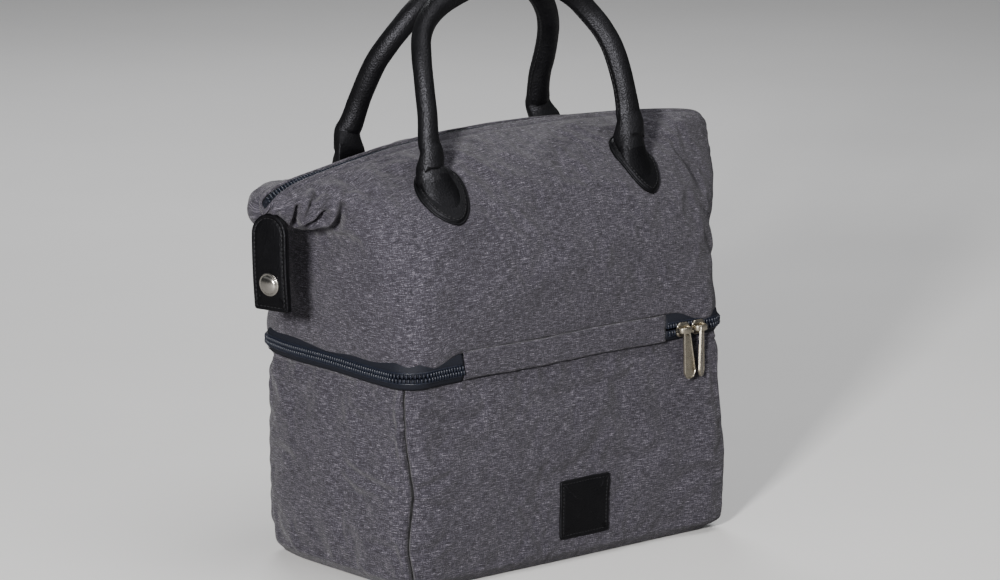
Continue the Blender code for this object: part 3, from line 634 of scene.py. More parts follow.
def surf(col, row):
    """Points of the upper surface at fractional net columns and rows."""
    col, row = np.broadcast_arrays(np.asarray(col, float), np.asarray(row, float))
    j = np.floor(col).astype(int)
    across = (col - j)[..., None]
    row = np.clip(row, 0, 7)
    i = np.minimum(row.astype(int), 6)
    up = (row - i)[..., None]

    def net_row(k):
        taps = [FULL_NET[np.clip(k, 0, 7), (j + c) % ALL_COLS] for c in (-1, 0, 1, 2)]
        return catmull(*taps, across)

    at, above = net_row(i), net_row(i + 1)
    below = np.where((i < 1)[..., None], 2 * at - above, net_row(i - 1))
    higher = np.where((i > 5)[..., None], 2 * above - at, net_row(i + 2))
    return catmull(below, at, above, higher, up)


def surf_normal(col, row):
    step = 0.02
    across = surf(col + step, row) - surf(col - step, row)
    up = surf(col, np.clip(row + step, 0, 7)) - surf(col, np.clip(row - step, 0, 7))
    return unit(np.cross(up, across))


def even_params(params, path, crowding, step):
    """Params spaced so that the path's points lie about step apart."""
    lengths = np.linalg.norm(np.diff(path, axis=0), axis=1) * crowding
    along = np.concatenate([[0], np.cumsum(lengths)])
    return np.interp(np.linspace(0, along[-1], int(along[-1] / step) + 1), along, params)


def col_samples(step):
    """Columns from one side, over the middle, to the other."""
    cols = np.linspace(-6, 6, 2401)
    crowding = 1 + 0.9 * smooth(2.6, 3.4, np.abs(cols[:-1]))
    return even_params(cols, surf(cols, 4.6), crowding, step)


def row_samples(step, low=0.0, high=7.0):
    rows = np.linspace(low, high, 1401)
    return even_params(rows, surf(1.0, rows), 1 + 0.5 * smooth(3.0, 4.2, rows[:-1]), step)


def arc_uv(points):
    """UV of a grid by arc length along its rows and, evened out, up its columns."""
    across = np.linalg.norm(np.diff(points, axis=1), axis=2)
    up = np.linalg.norm(np.diff(points, axis=0), axis=2)
    u = np.concatenate([np.zeros((points.shape[0], 1)), np.cumsum(across, 1)], 1)
    v = np.concatenate([np.zeros((1, points.shape[1])), np.cumsum(up, 0)], 0)
    middle = points.shape[1] // 2
    u = u - u[:, middle : middle + 1]
    reach = max(3, int(34 / max(across.mean(), 0.5)))
    box = np.ones(2 * reach + 1) / (2 * reach + 1)
    for _ in range(2):
        padded = np.pad(v, ((0, 0), (reach, reach)), mode="edge")
        v = np.apply_along_axis(lambda line: np.convolve(line, box, "valid"), 1, padded)
    return np.stack([u, v], -1)


# Creases of the ears on the left front quarter: path of (column, row), depth, width, ridge.
EAR_CREASES = [
    ([(3.90, 6.10), (4.20, 5.85), (4.60, 5.55), (5.05, 5.30), (5.45, 5.10)], 6.4, 2.0, 1.6),
    ([(3.10, 6.25), (3.35, 6.02), (3.65, 5.80), (4.10, 5.42)], 3.4, 2.1, 1.3),
    ([(3.72, 5.22), (3.95, 5.00), (4.40, 4.82), (4.75, 4.86), (5.15, 4.95)], 5.2, 2.8, 2.2),
    ([(3.05, 5.45), (3.20, 5.12), (3.50, 4.78), (3.95, 4.42), (4.60, 4.04), (5.30, 3.70)],
     4.6, 2.5, 1.5),
    ([(4.9, 6.35), (5.2, 6.1), (5.6, 5.9)], 1.8, 1.7, 0.8),
    ([(2.6, 5.9), (2.85, 5.6), (3.0, 5.25)], 1.3, 2.6, 0.6),
    ([(4.2, 3.1), (4.7, 3.3), (5.3, 3.4), (6.0, 3.45)], 1.6, 4.0, 0.5),
]
# for each quarter (left front, left rear, right rear, right front): how column c
# becomes offset + sign * c, and how strong the creases are
QUARTERS = [(0, 1, 1.0), (12, -1, 1.0), (12, 1, 0.8), (0, -1, 0.12)]


def crease(points, path, depth, width, ridge):
    """How far each point sinks (+ is in) for one crease along a 3-D path."""
    low, high = path.min(0) - 4 * width, path.max(0) + 4 * width
    near = np.all((points > low) & (points < high), axis=-1)
    sunk = np.zeros(points.shape[:-1])
    close = points[near]
    if not len(close):
        return sunk
    best, along = np.full(len(close), 1e9), np.zeros(len(close))
    start = lengths_along(path)
    for k in range(len(path) - 1):
        run = path[k + 1] - path[k]
        t = np.clip(((close - path[k]) @ run) / max(run @ run, 1e-9), 0, 1)
        gap = np.linalg.norm(close - (path[k] + t[:, None] * run), axis=1)
        nearer = gap < best
        best[nearer] = gap[nearer]
        along[nearer] = start[k] + t[nearer] * (start[k + 1] - start[k])
    share = along / start[-1]
    taper = smooth(0, 0.22, share) * (1 - smooth(0.8, 1.0, share))
    profile = depth * bell(best, 0, width) - ridge * bell(best, 2.1 * width, 1.1 * width)
    sunk[near] = taper * profile
    return sunk


def ear_creases(points):
    """Depth of all ear creases; three quarters get a random variation of the first."""
    total = np.zeros(points.shape[:-1])
    for quarter, (offset, sign, strength) in enumerate(QUARTERS):
        rng = np.random.default_rng(100 + 7 * quarter)
        for path, depth, width, ridge in EAR_CREASES:
            path, scale, widen = np.array(path), 1.15, 1.0
            if quarter:
                path = path + rng.normal(0, 0.07, path.shape)
                scale = rng.uniform(0.6, 1.1) * strength
                widen = rng.uniform(0.9, 1.3)
            path[:, 0] = offset + sign * path[:, 0]
            curve = curve_through(path, 8)
            path3 = surf(curve[:, 0], curve[:, 1])
            total += crease(points, path3, depth * scale, width * widen, ridge * scale)
    return total


def mouth_weight(x, row, away=None):
    """How far the upper fabric follows its half of the mouth: none at the ears and low down.

    away is how many columns the point lies from the middle of its half."""
    weight = (1 - smooth(108, 152, np.abs(x))) * smooth(2.1, 3.35, row)
    return weight if away is None else weight * (1 - smooth(3.4, 5.5, away))


def ear_fullness(points, row):
    """Extra swell of the ears' shoulders, mostly on the rear and the left."""
    x, y = points[..., 0], points[..., 1]
    swell = smooth(148, 184, np.abs(x)) * bell(row, 5.7, 0.95)
    rear = np.where(x < 0, 11.0, 3.5) * smooth(0, 9, y)
    front = np.where(x < 0, 1.6, 0.0) * smooth(0, 6, -y)
    return swell * np.where(y > 0, rear, front)


def off_band(points):
    """0 over the hinge band on the front, 1 round the rest of the compartment zip."""
    x, y = points[..., 0], points[..., 1]
    return np.clip(smooth(95, 121, np.abs(x)) + smooth(-62, -56, y), 0, 1)


# ---------------------------------------------------------------- cloth settling
class Field:
    """A smooth function read off a grid of values; columns wrap round."""

    def __init__(self, values, cols, rows, period):
        self.values, self.rows, self.period = values, rows, period
        self.cols = np.concatenate([cols, [cols[0] + period]])

    @staticmethod
    def taps(t):
        return [
            -0.5 * t + t * t - 0.5 * t**3, 1 - 2.5 * t * t + 1.5 * t**3,
            0.5 * t + 2 * t * t - 1.5 * t**3, -0.5 * t * t + 0.5 * t**3]

    def __call__(self, col, row):
        col, row = np.broadcast_arrays(np.asarray(col, float), np.asarray(row, float))
        n_rows, n_cols = self.values.shape
        first = self.cols[0]
        x = np.interp(np.mod(col - first, self.period) + first, self.cols, np.arange(n_cols + 1))
        y = np.interp(row, self.rows, np.arange(n_rows))
        i, j = np.floor(x).astype(int), np.minimum(np.floor(y).astype(int), n_rows - 2)
        total = np.zeros(col.shape)
        for up, weight_y in zip((-1, 0, 1, 2), self.taps(y - j)):
            for over, weight_x in zip((-1, 0, 1, 2), self.taps(x - i)):
                value = self.values[np.clip(j + up, 0, n_rows - 1), np.mod(i + over, n_cols)]
                total += weight_y * weight_x * value
        return total


SETTLE_FRAMES = 17


def settle(name, points, normals, sewn, cap):
    """Cloth simulation of a ring of fabric, held where sewn is 1.

    The cloth is a little too long, so it buckles and puffs between its seams.
    Gives how far each point moves along its normal, without most of the wide
    movement and kept within cap."""
    rows, cols = points.shape[:2]
    mesh = bpy.data.meshes.new(name)
    faces = [tuple(int(i) for i in quad) for quad in grid_faces(rows, cols, True)]
    mesh.from_pydata((points.reshape(-1, 3) * MM).tolist(), [], faces)
    obj = bpy.data.objects.new(name, mesh)
    scene = bpy.context.scene
    scene.collection.objects.link(obj)
    group = obj.vertex_groups.new(name="sewn")
    level = np.round(np.clip(sewn, 0, 1).ravel() * 20).astype(int)
    for k in range(1, 21):
        group.add([int(i) for i in np.nonzero(level == k)[0]], k / 20, "REPLACE")
    modifier = obj.modifiers.new("cloth", "CLOTH")
    set_all(
        modifier.settings, quality=4, mass=0.15, air_damping=2.0,
        tension_stiffness=22.0, compression_stiffness=22.0,
        shear_stiffness=10.0, bending_stiffness=0.35,
        tension_damping=10.0, compression_damping=10.0, shear_damping=10.0, bending_damping=1.0,
        use_pressure=True, uniform_pressure_force=1.0, shrink_min=-0.022,
        vertex_group_mass="sewn")
    modifier.settings.effector_weights.gravity = 0.0
    set_all(modifier.collision_settings, use_collision=False, use_self_collision=False)
    set_all(modifier.point_cache, frame_start=1, frame_end=SETTLE_FRAMES)
    for frame in range(1, SETTLE_FRAMES + 1):
        scene.frame_set(frame)
    settled = obj.evaluated_get(bpy.context.evaluated_depsgraph_get())
    coords = np.zeros(rows * cols * 3)
    settled.data.vertices.foreach_get("co", coords)
    bpy.data.objects.remove(obj)
    bpy.data.meshes.remove(mesh)
    scene.frame_set(1)
    moved = ((coords.reshape(rows, cols, 3) * 1000 - points) * normals).sum(-1)
    moved = np.nan_to_num(moved)
    wide = np.clip(moved, -12, 12)
    for _ in range(60):
        below, above = np.vstack([wide[:1], wide[:-1]]), np.vstack([wide[1:], wide[-1:]])
        wide = 0.2 * (wide + below + above + np.roll(wide, 1, 1) + np.roll(wide, -1, 1))
    return cap * np.tanh((moved - 0.75 * wide) / cap)


# ---------------------------------------------------------------- upper fabric
def upper_form(cols, rows):
    """Surface points, normals and how far the unsettled fabric stands out."""
    points, normals = surf(cols, rows), surf_normal(cols, rows)
    normals[..., 2] *= np.where(rows < 0.6, 0.4, 1.0)
    normals = unit(normals)
    out = 1.5 * layered_noise(points, 62.0, seed=3, octaves=3)
    out = out + 0.5 * layered_noise(points, 19.0, seed=9, octaves=2)
    out *= smooth(0, 0.8, rows) * (1 - 0.75 * smooth(6.4, 7.0, rows))
    out += 1.3 * bell(rows, 2.2, 1.6) * (1 - smooth(100, 130, np.abs(points[..., 0])))
    out += ear_fullness(points, rows)
    # the rear is drawn in beside the left corner
    out -= 4.2 * bell(np.mod(cols, ALL_COLS), 8.3, 1.1) * (1 - smooth(1.2, 3.2, rows))
    # a soft, uneven roll over the compartment zip
    wave = np.sin(cols * 2.3 + 0.7) + 0.6 * np.sin(cols * 5.1 + 2.0)
    away = off_band(points)
    out += away * (2.7 + 0.5 * wave) * bell(rows, 0.22, 0.34)
    out -= (1 - away) * 0.9 * bell(rows, 0.0, 0.10)
    return points, normals, out


def settle_upper():
    dense = np.linspace(0, ALL_COLS, 4801)
    along = lengths_along(surf(dense, 4.4))
    col_list = np.interp(np.linspace(0, along[-1], 251)[:-1], along, dense)
    row_list = row_samples(3.5)
    cols, rows = np.meshgrid(col_list, row_list)
    points, normals, out = upper_form(cols, rows)
    points = points + normals * out[..., None]
    sewn = np.maximum(1 - smooth(0.0, 0.25, rows), smooth(6.72, 6.9, rows))
    # the handle leaves hold the fabric flat
    for x in (-HANDLE_X, HANDLE_X):
        for facing in (-1, 1):
            gap = np.linalg.norm(points - np.array([x, facing * 53.0, 262.0]), axis=-1)
            sewn = np.maximum(sewn, 1 - smooth(22, 34, gap))
    # so does the stiff fold over each end tab
    sewn = np.maximum(sewn, 0.8 * smooth(150, 175, np.abs(points[..., 0])))
    moved = settle("upper_settling", points, normals, sewn, cap=1.7)
    return Field(moved, col_list, row_list, float(ALL_COLS))


UPPER_SETTLING = settle_upper()


def upper_skin(cols, rows):
    """upper_form with the settled softness added."""
    points, normals, out = upper_form(cols, rows)
    if UPPER_SETTLING is not None:
        loose = smooth(0.35, 1.7, rows) * (1 - smooth(6.2, 6.8, rows))
        out = out + UPPER_SETTLING(cols, rows) * loose
    return points, normals, out


def upper_half(name, centre, body, *nodes):
    """Outer fabric of the front or rear half, with its hem along the mouth."""
    facing = -1 if centre == FRONT_COL else 1
    col_list, row_list = col_samples(FINE) + centre, row_samples(FINE)
    # two columns reach on past each side, just under the other half, to read as one skin
    first, last = col_list[0], col_list[-1]
    col_list = np.concatenate([[first - 0.10, first - 0.05], col_list, [last + 0.05, last + 0.10]])
    tucked = np.zeros(len(col_list))
    tucked[[0, 1, -2, -1]] = 0.6, 0.03, 0.03, 0.6
    cols, rows = np.meshgrid(col_list, row_list)
    base, normals, out = upper_skin(cols, rows)
    out = out - ear_creases(base) - tucked
    points = base + normals * out[..., None]
    # the wavy lower edge hangs down over the zip tape
    wave = 0.8 * np.sin(cols * 2.9 + 1.0) + 0.5 * np.sin(cols * 6.7)
    hang = 7.4 + wave - 1.5 * bell(np.mod(cols, ALL_COLS), 4.4, 0.8)
    points[..., 2] -= off_band(base) * hang * bell(rows, 0.0, 0.42)
    # hem along the mouth zip: dent of the top stitch, then the turned edge
    points -= normals * (0.7 * bell(rows, 6.80, 0.05))[..., None]
    top = points[-1]
    inward = np.zeros_like(top)
    inward[:, 1] = -facing * np.clip(np.abs(base[-1, :, 1]) / 5.0, 0, 1)
    turned = []
    for degrees in (25, 60, 95, 130, 165):
        angle = math.radians(degrees)
        rise = 0.55 - 1.5 * (1 - math.cos(angle)) * 0.8
        turned.append(top + inward * (1.5 * math.sin(angle)) + UP * rise)
    turned.append(top + inward * 0.4 - UP * 3.2)
    under = [points[0] - normals[0] * depth + UP * dz for depth, dz in ((2.6, 1.2), (1.2, -0.2))]
    points = np.concatenate([under, points, turned])

    def extend(values):
        return np.concatenate([values[:1], values[:1], values, np.repeat(values[-1:], 6, 0)])

    weight = mouth_weight(points[..., 0], extend(rows), np.abs(extend(cols) - centre))
    obj = grid(name, points, FABRIC, arc_uv(points), thick=1.1, slot="heather_fabric")
    soft_blend(obj, weight)
    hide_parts(*nodes)


def upper_inside(name, centre, body, *nodes):
    """Liner film inside the front or rear half."""
    facing = -1 if centre == FRONT_COL else 1
    cols, rows = np.meshgrid(col_samples(3.4) + centre, row_samples(3.4, 0.06, 6.72))
    base, normals, out = upper_skin(cols, rows)
    out = out - ear_creases(base)
    depth = 7.4 - 4.0 * smooth(3.0, 6.4, rows)
    depth -= layered_noise(base, 28.0, seed=21, octaves=2) * smooth(0, 1, rows)
    depth += 5.0 * (1 - smooth(0.3, 1.4, rows)) * off_band(base)
    thin = smooth(128, 172, np.abs(base[..., 0])) * smooth(3.6, 5.2, rows)
    depth = depth * (1 - thin) + 2.4 * thin
    points = base + normals * (out - depth)[..., None]
    # neither half crosses the middle
    y = points[..., 1]
    points[..., 1] = np.where(facing * y < 0.1, facing * 0.1, y)
    obj = grid(name, points, FOIL, arc_uv(points), thick=0.5, slot="silver_liner")
    weight = mouth_weight(points[..., 0], rows, np.abs(cols - centre))
    soft_blend(obj, weight)
    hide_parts(*nodes)


upper_half("upper_front_fabric", FRONT_COL, "front_mouth", "upper_front_panel", "front_mouth_panel")
upper_half("upper_rear_fabric", REAR_COL, "rear_mouth", "upper_rear_panel", "rear_mouth_panel")
upper_inside("upper_front_liner", FRONT_COL, "front_mouth",
             "upper_liner", "upper_foam", "front_mouth_lining")
upper_inside("upper_rear_liner", REAR_COL, "rear_mouth", "rear_mouth_lining")

# ---------------------------------------------------------------- lower fabric
# drift of the left front seam round the plan, by height
SEAM_PATH_Z = [0, 8, 16, 25, 35, 50, 66, 72, 90, 105, 120, 140]
SEAM_PATH_DIST = [-1.5, -1.5, 0.0, 2.2, 2.5, 0.7, -1.2, -0.8, 2.7, 5.0, 5.7, 6.8]

# Soft folds: start of dist, path of (dist, z), depth, width, ridge.
LOWER_FOLDS = [
    (SEAMS[0], [(66, 80), (40, 73), (14, 69), (1, 69)], 1.7, 3.0, 0.9),
    (SEAMS[0], [(58, 60), (34, 62), (8, 67)], 0.9, 3.4, 0.5),
    (SEAMS[0], [(-1, 69), (-14, 74), (-34, 79)], 1.5, 2.6, 0.8),
    (SEAMS[0], [(-1, 66), (-16, 59), (-38, 57)], 1.1, 3.0, 0.6),
    (SEAMS[0], [(3, 128), (-16, 119), (-44, 113), (-66, 114)], 1.6, 5.2, 0.6),
    (SEAMS[0], [(8, 118), (32, 112), (60, 114)], 1.0, 4.5, 0.5),
    (SEAMS[0], [(2, 27), (-14, 30), (-30, 40)], 1.2, 3.2, 0.7),
    (SEAMS[0], [(4, 24), (22, 30), (44, 28)], 1.0, 3.4, 0.5),
    (SEAMS[3], [(3, 40), (20, 46), (40, 44)], 1.0, 4.0, 0.5),
    (SEAMS[3], [(-4, 62), (-26, 58), (-52, 62)], 1.1, 4.0, 0.5),
    (SEAMS[1], [(-4, 70), (-24, 76), (-46, 72)], 1.3, 3.6, 0.6),
    (SEAMS[1], [(3, 66), (28, 72), (70, 70)], 1.2, 4.0, 0.6),
    (0, [(420, 118), (450, 108), (490, 112)], 1.2, 5.5, 0.5),
    (0, [(400, 40), (431, 52), (470, 47)], 1.0, 5.5, 0.4),
    (0, [(40, 122), (10, 117), (-30, 120)], 0.9, 5.5, 0.4),
    (0, [(-20, 70), (-60, 64), (-90, 68)], 0.8, 6.0, 0.3),
]


def seam_shift(z, seam):
    """How far a corner seam wanders round the plan at height z."""
    return np.choose(seam, [
        np.interp(z, SEAM_PATH_Z, SEAM_PATH_DIST),
        2.0 * np.sin(z / 24.0 + 1.0) - 1.0,
        1.8 * np.sin(z / 19.0 + 3.0),
        -2.0 * np.sin(z / 27.0) - 1.5,
    ])


def lower_profile(z, side):
    """How far the wall stands out by height; side is 1 in the middle of a side wall."""
    tuck = -6.2 * (1 - smooth(0.0, 9.5, z)) ** 1.6
    belly = 2.4 * np.sin(np.clip((z - 6) / 128.0, 0, 1) * math.pi) ** 0.8
    pinch = -2.6 * smooth(124, 140, z)
    return tuck + belly * (0.55 + 0.6 * side) + pinch


def seam_relief(dist, z):
    """Groove, lips and puckers of the corner seams."""
    _, seam = near_seam(dist)
    gap = wrapped(dist - SEAMS[seam] - seam_shift(z, seam))
    groove = 5.6 * np.exp(-((np.abs(gap) / 1.25) ** 1.6)) * (0.85 + 0.2 * np.sin(z / 13.0 + 2 * seam))
    lips = 1.0 * bell(gap, 3.6, 2.3) + 0.55 * bell(gap, -3.4, 2.1)
    ripple = np.sin(z * TAU / 13.0 + 2.0 * seam + 0.8 * np.sin(z / 9.0))
    pucker = np.choose(seam, [0.5, 0.45, 0.4, 0.12]) * ripple * np.exp(-np.abs(gap) / 6.0)
    fade = smooth(0.5, 5.0, z) * (1 - 0.7 * smooth(136, 141, z))
    return fade * (lips + pucker - groove)


def lower_form(dist, z):
    """How far the unsettled lower fabric stands out from the plan."""
    points = around(dist, z, 0.0)[0]
    x, y = points[..., 0], points[..., 1]
    on_side = np.where(np.abs(x) > HALF_W - 1, 1.0, 0.0)
    out = lower_profile(z, on_side * np.cos(np.clip(y / HALF_D, -1, 1) * math.pi / 2))
    soft = 1.2 * layered_noise(points, 58.0, seed=31, octaves=3)
    soft = soft + 0.4 * layered_noise(points, 17.0, seed=37, octaves=2)
    out = out + soft * smooth(2, 14, z)
    # the right front corner stands fuller, the left rear one is drawn in
    fuller = bell(wrapped(dist - SEAMS[3]), 0, 27)
    drawn = bell(wrapped(dist - SEAMS[1]), 0, 25)
    out = out + fuller * (3.2 + 1.6 * (1 - smooth(25, 110, z))) * smooth(0, 10, z)
    out = out - drawn * (4.0 + 3.0 * (1 - smooth(6, 32, z)))
    out = out + seam_relief(dist, z)
    for start, path, depth, width, ridge in LOWER_FOLDS:
        curve = curve_through([(start + d, height) for d, height in path], 8)
        fold = around(curve[:, 0], curve[:, 1], 0.0)[0]
        out = out - crease(points, fold, depth, width, ridge)
    # the turned edge below the compartment zip
    hem = z - (136.4 + 0.8 * np.sin(dist / 17.0))
    out = out - off_band(points) * (0.75 * bell(hem, 0, 0.8) - 0.6 * bell(hem, 2.6, 1.6))
    # small gathers under it
    return out + 0.45 * np.sin(dist / 4.3 + 1.3 * np.sin(dist / 23.0)) * bell(z, 137, 6.5)


def settle_lower():
    cols = 250
    dist_list = np.arange(cols) * PERIMETER / cols
    z_list = np.linspace(0.5, 141.6, 41)
    dist, z = np.meshgrid(dist_list, z_list)
    points, normals = around(dist, z, lower_form(dist, z))
    sewn = np.maximum(1 - smooth(2, 8, z), smooth(134, 139, z))
    _, seam = near_seam(dist)
    gap = np.abs(wrapped(dist - SEAMS[seam] - seam_shift(z, seam)))
    sewn = np.maximum(sewn, 1 - smooth(2.5, 6.0, gap))
    # the label stiffens the cloth it is sewn to
    off_x = np.abs(points[..., 0] - LABEL_X) - (LABEL_HALF_W + 2.0)
    off_z = np.abs(z - LABEL_Z) - (LABEL_HALF_H + 1.5)
    stiff = 1 - smooth(0, 10, np.maximum(off_x, off_z))
    sewn = np.maximum(sewn, np.where(points[..., 1] < 0, stiff, 0))
    moved = settle("lower_settling", points, normals, sewn, cap=1.5)
    return Field(moved, dist_list, z_list, PERIMETER)


LOWER_SETTLING = settle_lower()


def lower_skin(dist, z):
    """Points of the outer face of the lower fabric."""
    dist, z = np.broadcast_arrays(np.asarray(dist, float), np.asarray(z, float))
    out = lower_form(dist, z)
    if LOWER_SETTLING is not None:
        out = out + LOWER_SETTLING(dist, z)
    return around(dist, z, out)[0]


def plan_samples(start, coarse, fine):
    """Distances once round the plan from start, closer together by the seams."""
    dense = np.linspace(0, PERIMETER, 8001)
    gap, seam = near_seam(start + dense[:-1])
    wide = np.where(seam == 0, 9.0, 5.5)
    far = smooth(wide - 1.5, wide + 3, np.abs(gap - np.where(seam == 0, 2.6, 0)))
    rate = 1 / coarse + (1 / fine - 1 / coarse) * (1 - far)
    count = np.concatenate([[0], np.cumsum(rate * np.diff(dense))])
    return start + np.interp(np.linspace(0, count[-1], int(count[-1]) + 1), count, dense)


def lower_fabric():
    dist = plan_samples(SEAMS[2], FINE, SEAM_FINE)
    z = np.concatenate([
        np.linspace(0.5, 12, 16),
        np.linspace(12, 134, int(122 / FINE))[1:],
        np.linspace(134, 141.6, 12)[1:],
    ])
    walls = lower_skin(*np.meshgrid(dist, z))
    normals = around(dist, 0.0, 0.0)[1]
    low, top = walls[0], walls[-1]
    # turned under at the bottom and in at the top
    points = np.concatenate([
        [low - normals * 9.0 + UP * 0.7, low - normals * 3.0],
        walls,
        [top - normals * 1.6 + UP * 0.5, top - normals * 3.6 + UP * 0.2],
    ])
    uv_z = np.concatenate([[-9.0, -3.0], z, [z[-1] + 1.7, z[-1] + 3.7]])
    uv = np.stack(np.meshgrid(dist, uv_z), -1)
    obj = grid("lower_fabric_walls", points, FABRIC, uv, thick=1.0, slot="heather_fabric")
    attach(obj, "lower_compartment", "lower_front_panel", "lower_rear_panel",
           "lower_left_panel", "lower_right_panel")


def painted_seam_shade_strip(seam, name):
    """Near-black strip at the bottom of one corner seam's groove: painted shade that deepens the
    groove's shadow line.
    """
    z = np.linspace(1.5, 139.5, 150)
    dist = SEAMS[seam] + seam_shift(z, seam)
    groove = lower_skin(dist, z)
    normals = around(dist, z, 0.0)[1]
    along = np.stack([-normals[:, 1], normals[:, 0], np.zeros(len(z))], 1)
    half_width, lift = 1.15, 1.5
    shares = np.array([-1.0, -0.6, 0.0, 0.6, 1.0])
    points = np.array([
        groove + normals * (lift + 0.35 * (1 - t * t)) + along * (t * half_width) for t in shares])
    uv = np.stack(np.broadcast_arrays(z, (shares * half_width)[:, None]), -1)
    attach(grid(name, points, PAINTED_SEAM_SHADE, uv, thick=0.4, slot="heather_fabric"), "lower_compartment")


lower_fabric()
# a near-black strip in each corner seam's groove paints its shade darker
for seam_number, corner in enumerate(("left_front", "left_rear", "right_rear", "right_front")):
    painted_seam_shade_strip(seam_number, f"corner_seam_painted_shade_{corner}")


# ---------------------------------------------------------------- stitches
# a stitch lengthwise (share of length, size), and its section (half widths, heights)
STITCH_PROFILE = [(-0.5, 0.35), (-0.38, 0.8), (0.0, 1.0), (0.38, 0.8), (0.5, 0.35)]
STITCH_SECTION = [(-1.0, 0.0), (-0.7, 0.75), (0.0, 1.0), (0.7, 0.75), (1.0, 0.0), (0.0, -0.5)]


def stitches(name, points, directions, normals, mat, length, width, height):
    """Little rounded stitches, one at each point."""
    faces = capped_faces(len(STITCH_PROFILE), len(STITCH_SECTION), flip=True)
    parts = []
    for point, along, normal in zip(points, directions, normals):
        along, normal = along / np.linalg.norm(along), normal / np.linalg.norm(normal)
        across = np.cross(normal, along)
        parts.append((np.array([
            point + along * (t * length) + across * (half * width / 2 * size)
            + normal * (rise * height * size)
            for t, size in STITCH_PROFILE
            for half, rise in STITCH_SECTION
        ]), faces))
    return make(name, *merge(parts), mat)


def stitch_line(name, path, normals, mat, pitch, width, height):
    """Run of stitches along a path; gives the object and the stitches' places."""
    both, _ = resample(np.hstack([path, normals]), pitch)
    points = both[:, :3]
    directions = np.gradient(points, axis=0)
    return stitches(name, points, directions, unit(both[:, 3:]), mat,
                    pitch * 0.72, width, height), points


# ---------------------------------------------------------------- hinge band
BAND_X = (-93.6, 86.4)
BAND_Z = (140.6, 159.6)
BAND_STITCH_INSET = 2.9


def hinge_band():
    """Band on the front, below the upper compartment, sewn along both long edges."""
    (left, right), (low, high) = BAND_X, BAND_Z
    x, z = np.meshgrid(
        np.linspace(left, right, int((right - left) / FINE)),
        np.linspace(low, high, int((high - low) / (FINE * 0.6))))
    points = np.stack([x, np.full_like(x, -HALF_D), z], -1)
    edge = np.minimum(z - low, high - z)
    end = np.minimum(x - left, right - x)
    out = 1.5 * smooth(0, 1.6, edge) - 0.7 * bell(edge, BAND_STITCH_INSET, 0.9)
    out = out + 0.4 * layered_noise(points, 24, seed=41, octaves=2) * smooth(0, 3, edge)
    out = out * smooth(-0.6, 1.2, end) - 0.5 * bell(end, 2.4, 0.8)
    out = out + 0.35 * np.sin(x / 6.0 + 2 * np.sin(x / 31.0)) * bell(edge, 0.5, 3.0)
    points[..., 1] -= out
    points[..., 2] += 0.35 * np.sin(x / 17.0) * (1 - smooth(0, 6, edge))
    points = points[:, ::-1]
    uv = np.stack([-points[..., 0], points[..., 2] + 400], -1)
    obj = grid("hinge_band_fabric", points, FABRIC, uv, thick=1.0, slot="heather_fabric")
    attach(obj, "lower_compartment", "hinge_band")
    x = np.linspace(-91, 84, 120)
    for edge_name, z in (("lower", low + BAND_STITCH_INSET), ("upper", high - BAND_STITCH_INSET)):
        path = np.stack([x, np.full_like(x, -HALF_D - 1.15), z + 0.175 * np.sin(x / 17.0)], -1)
        line, _ = stitch_line(f"hinge_band_stitch_{edge_name}", path, np.tile([0, -1.0, 0], (120, 1)),
                              GREY_THREAD, pitch=3.0, width=0.6, height=0.3)
        attach(line, "lower_compartment")


hinge_band()


# ---------------------------------------------------------------- compartment zip
def zip_out(dist):
    """How proud the zip stands: more on the sides and back, drawn in at the left rear."""
    points, _ = plan(dist)
    x, y = points[:, 0], points[:, 1]
    turn = np.where(x > 0, smooth(121, 139, x), smooth(100, 134, -x))
    drawn = bell(wrapped(dist - SEAMS[1]), 0, 25.0)
    return 0.4 - 4.6 * drawn + 1.6 * np.clip(turn + smooth(-70, -40, y), 0, 1)


def zip_wave(dist):
    return 0.55 * np.sin(dist / 37.0 + 0.4) + 0.3 * np.sin(dist / 15.0)


def zip_tape(name, stations, body, node):
    """Tape on one side of the zip; stations are (z, how far out) across it."""
    dist = np.linspace(ZIP_START, ZIP_END, int((ZIP_END - ZIP_START) / 2.2))
    points = np.array([
        around(dist, z + zip_wave(dist), out + zip_out(dist))[0] for z, out in stations])
    uv = np.stack(np.broadcast_arrays(dist, np.array(stations)[:, :1]), -1)
    attach(grid(name, points, TAPE, uv, thick=0.7, slot="navy_zip_tape"), body, node)


zip_tape("compartment_zip_tape_lower",
         [(139.6, -1.8), (140.9, -1.0), (142.2, -0.2), (144.0, 0.5), (146.0, 0.9), (147.4, 0.9)],
         "lower_compartment", "compartment_zip_lower_tape")
zip_tape("compartment_zip_tape_upper",
         [(148.6, 0.9), (150.0, 0.9), (152.0, 0.7), (154.5, 0.2), (157.0, -0.6), (158.8, -1.4)],
         "upper_compartment", "compartment_zip_upper_tape")

# section of a coil loop (along the zip, outwards) and its profile across the zip
# (place, height, width), as shares of its size
TOOTH_SECTION = [(-0.5, 0.0), (-0.42, 0.55), (-0.18, 0.95), (0.18, 0.95), (0.42, 0.55), (0.5, 0.0)]
TOOTH_PROFILE = [(-0.5, 0.25, 0.45), (-0.44, 0.7, 0.8), (-0.25, 1.0, 1.0),
                 (0.25, 1.0, 1.0), (0.44, 0.7, 0.8), (0.5, 0.25, 0.45)]


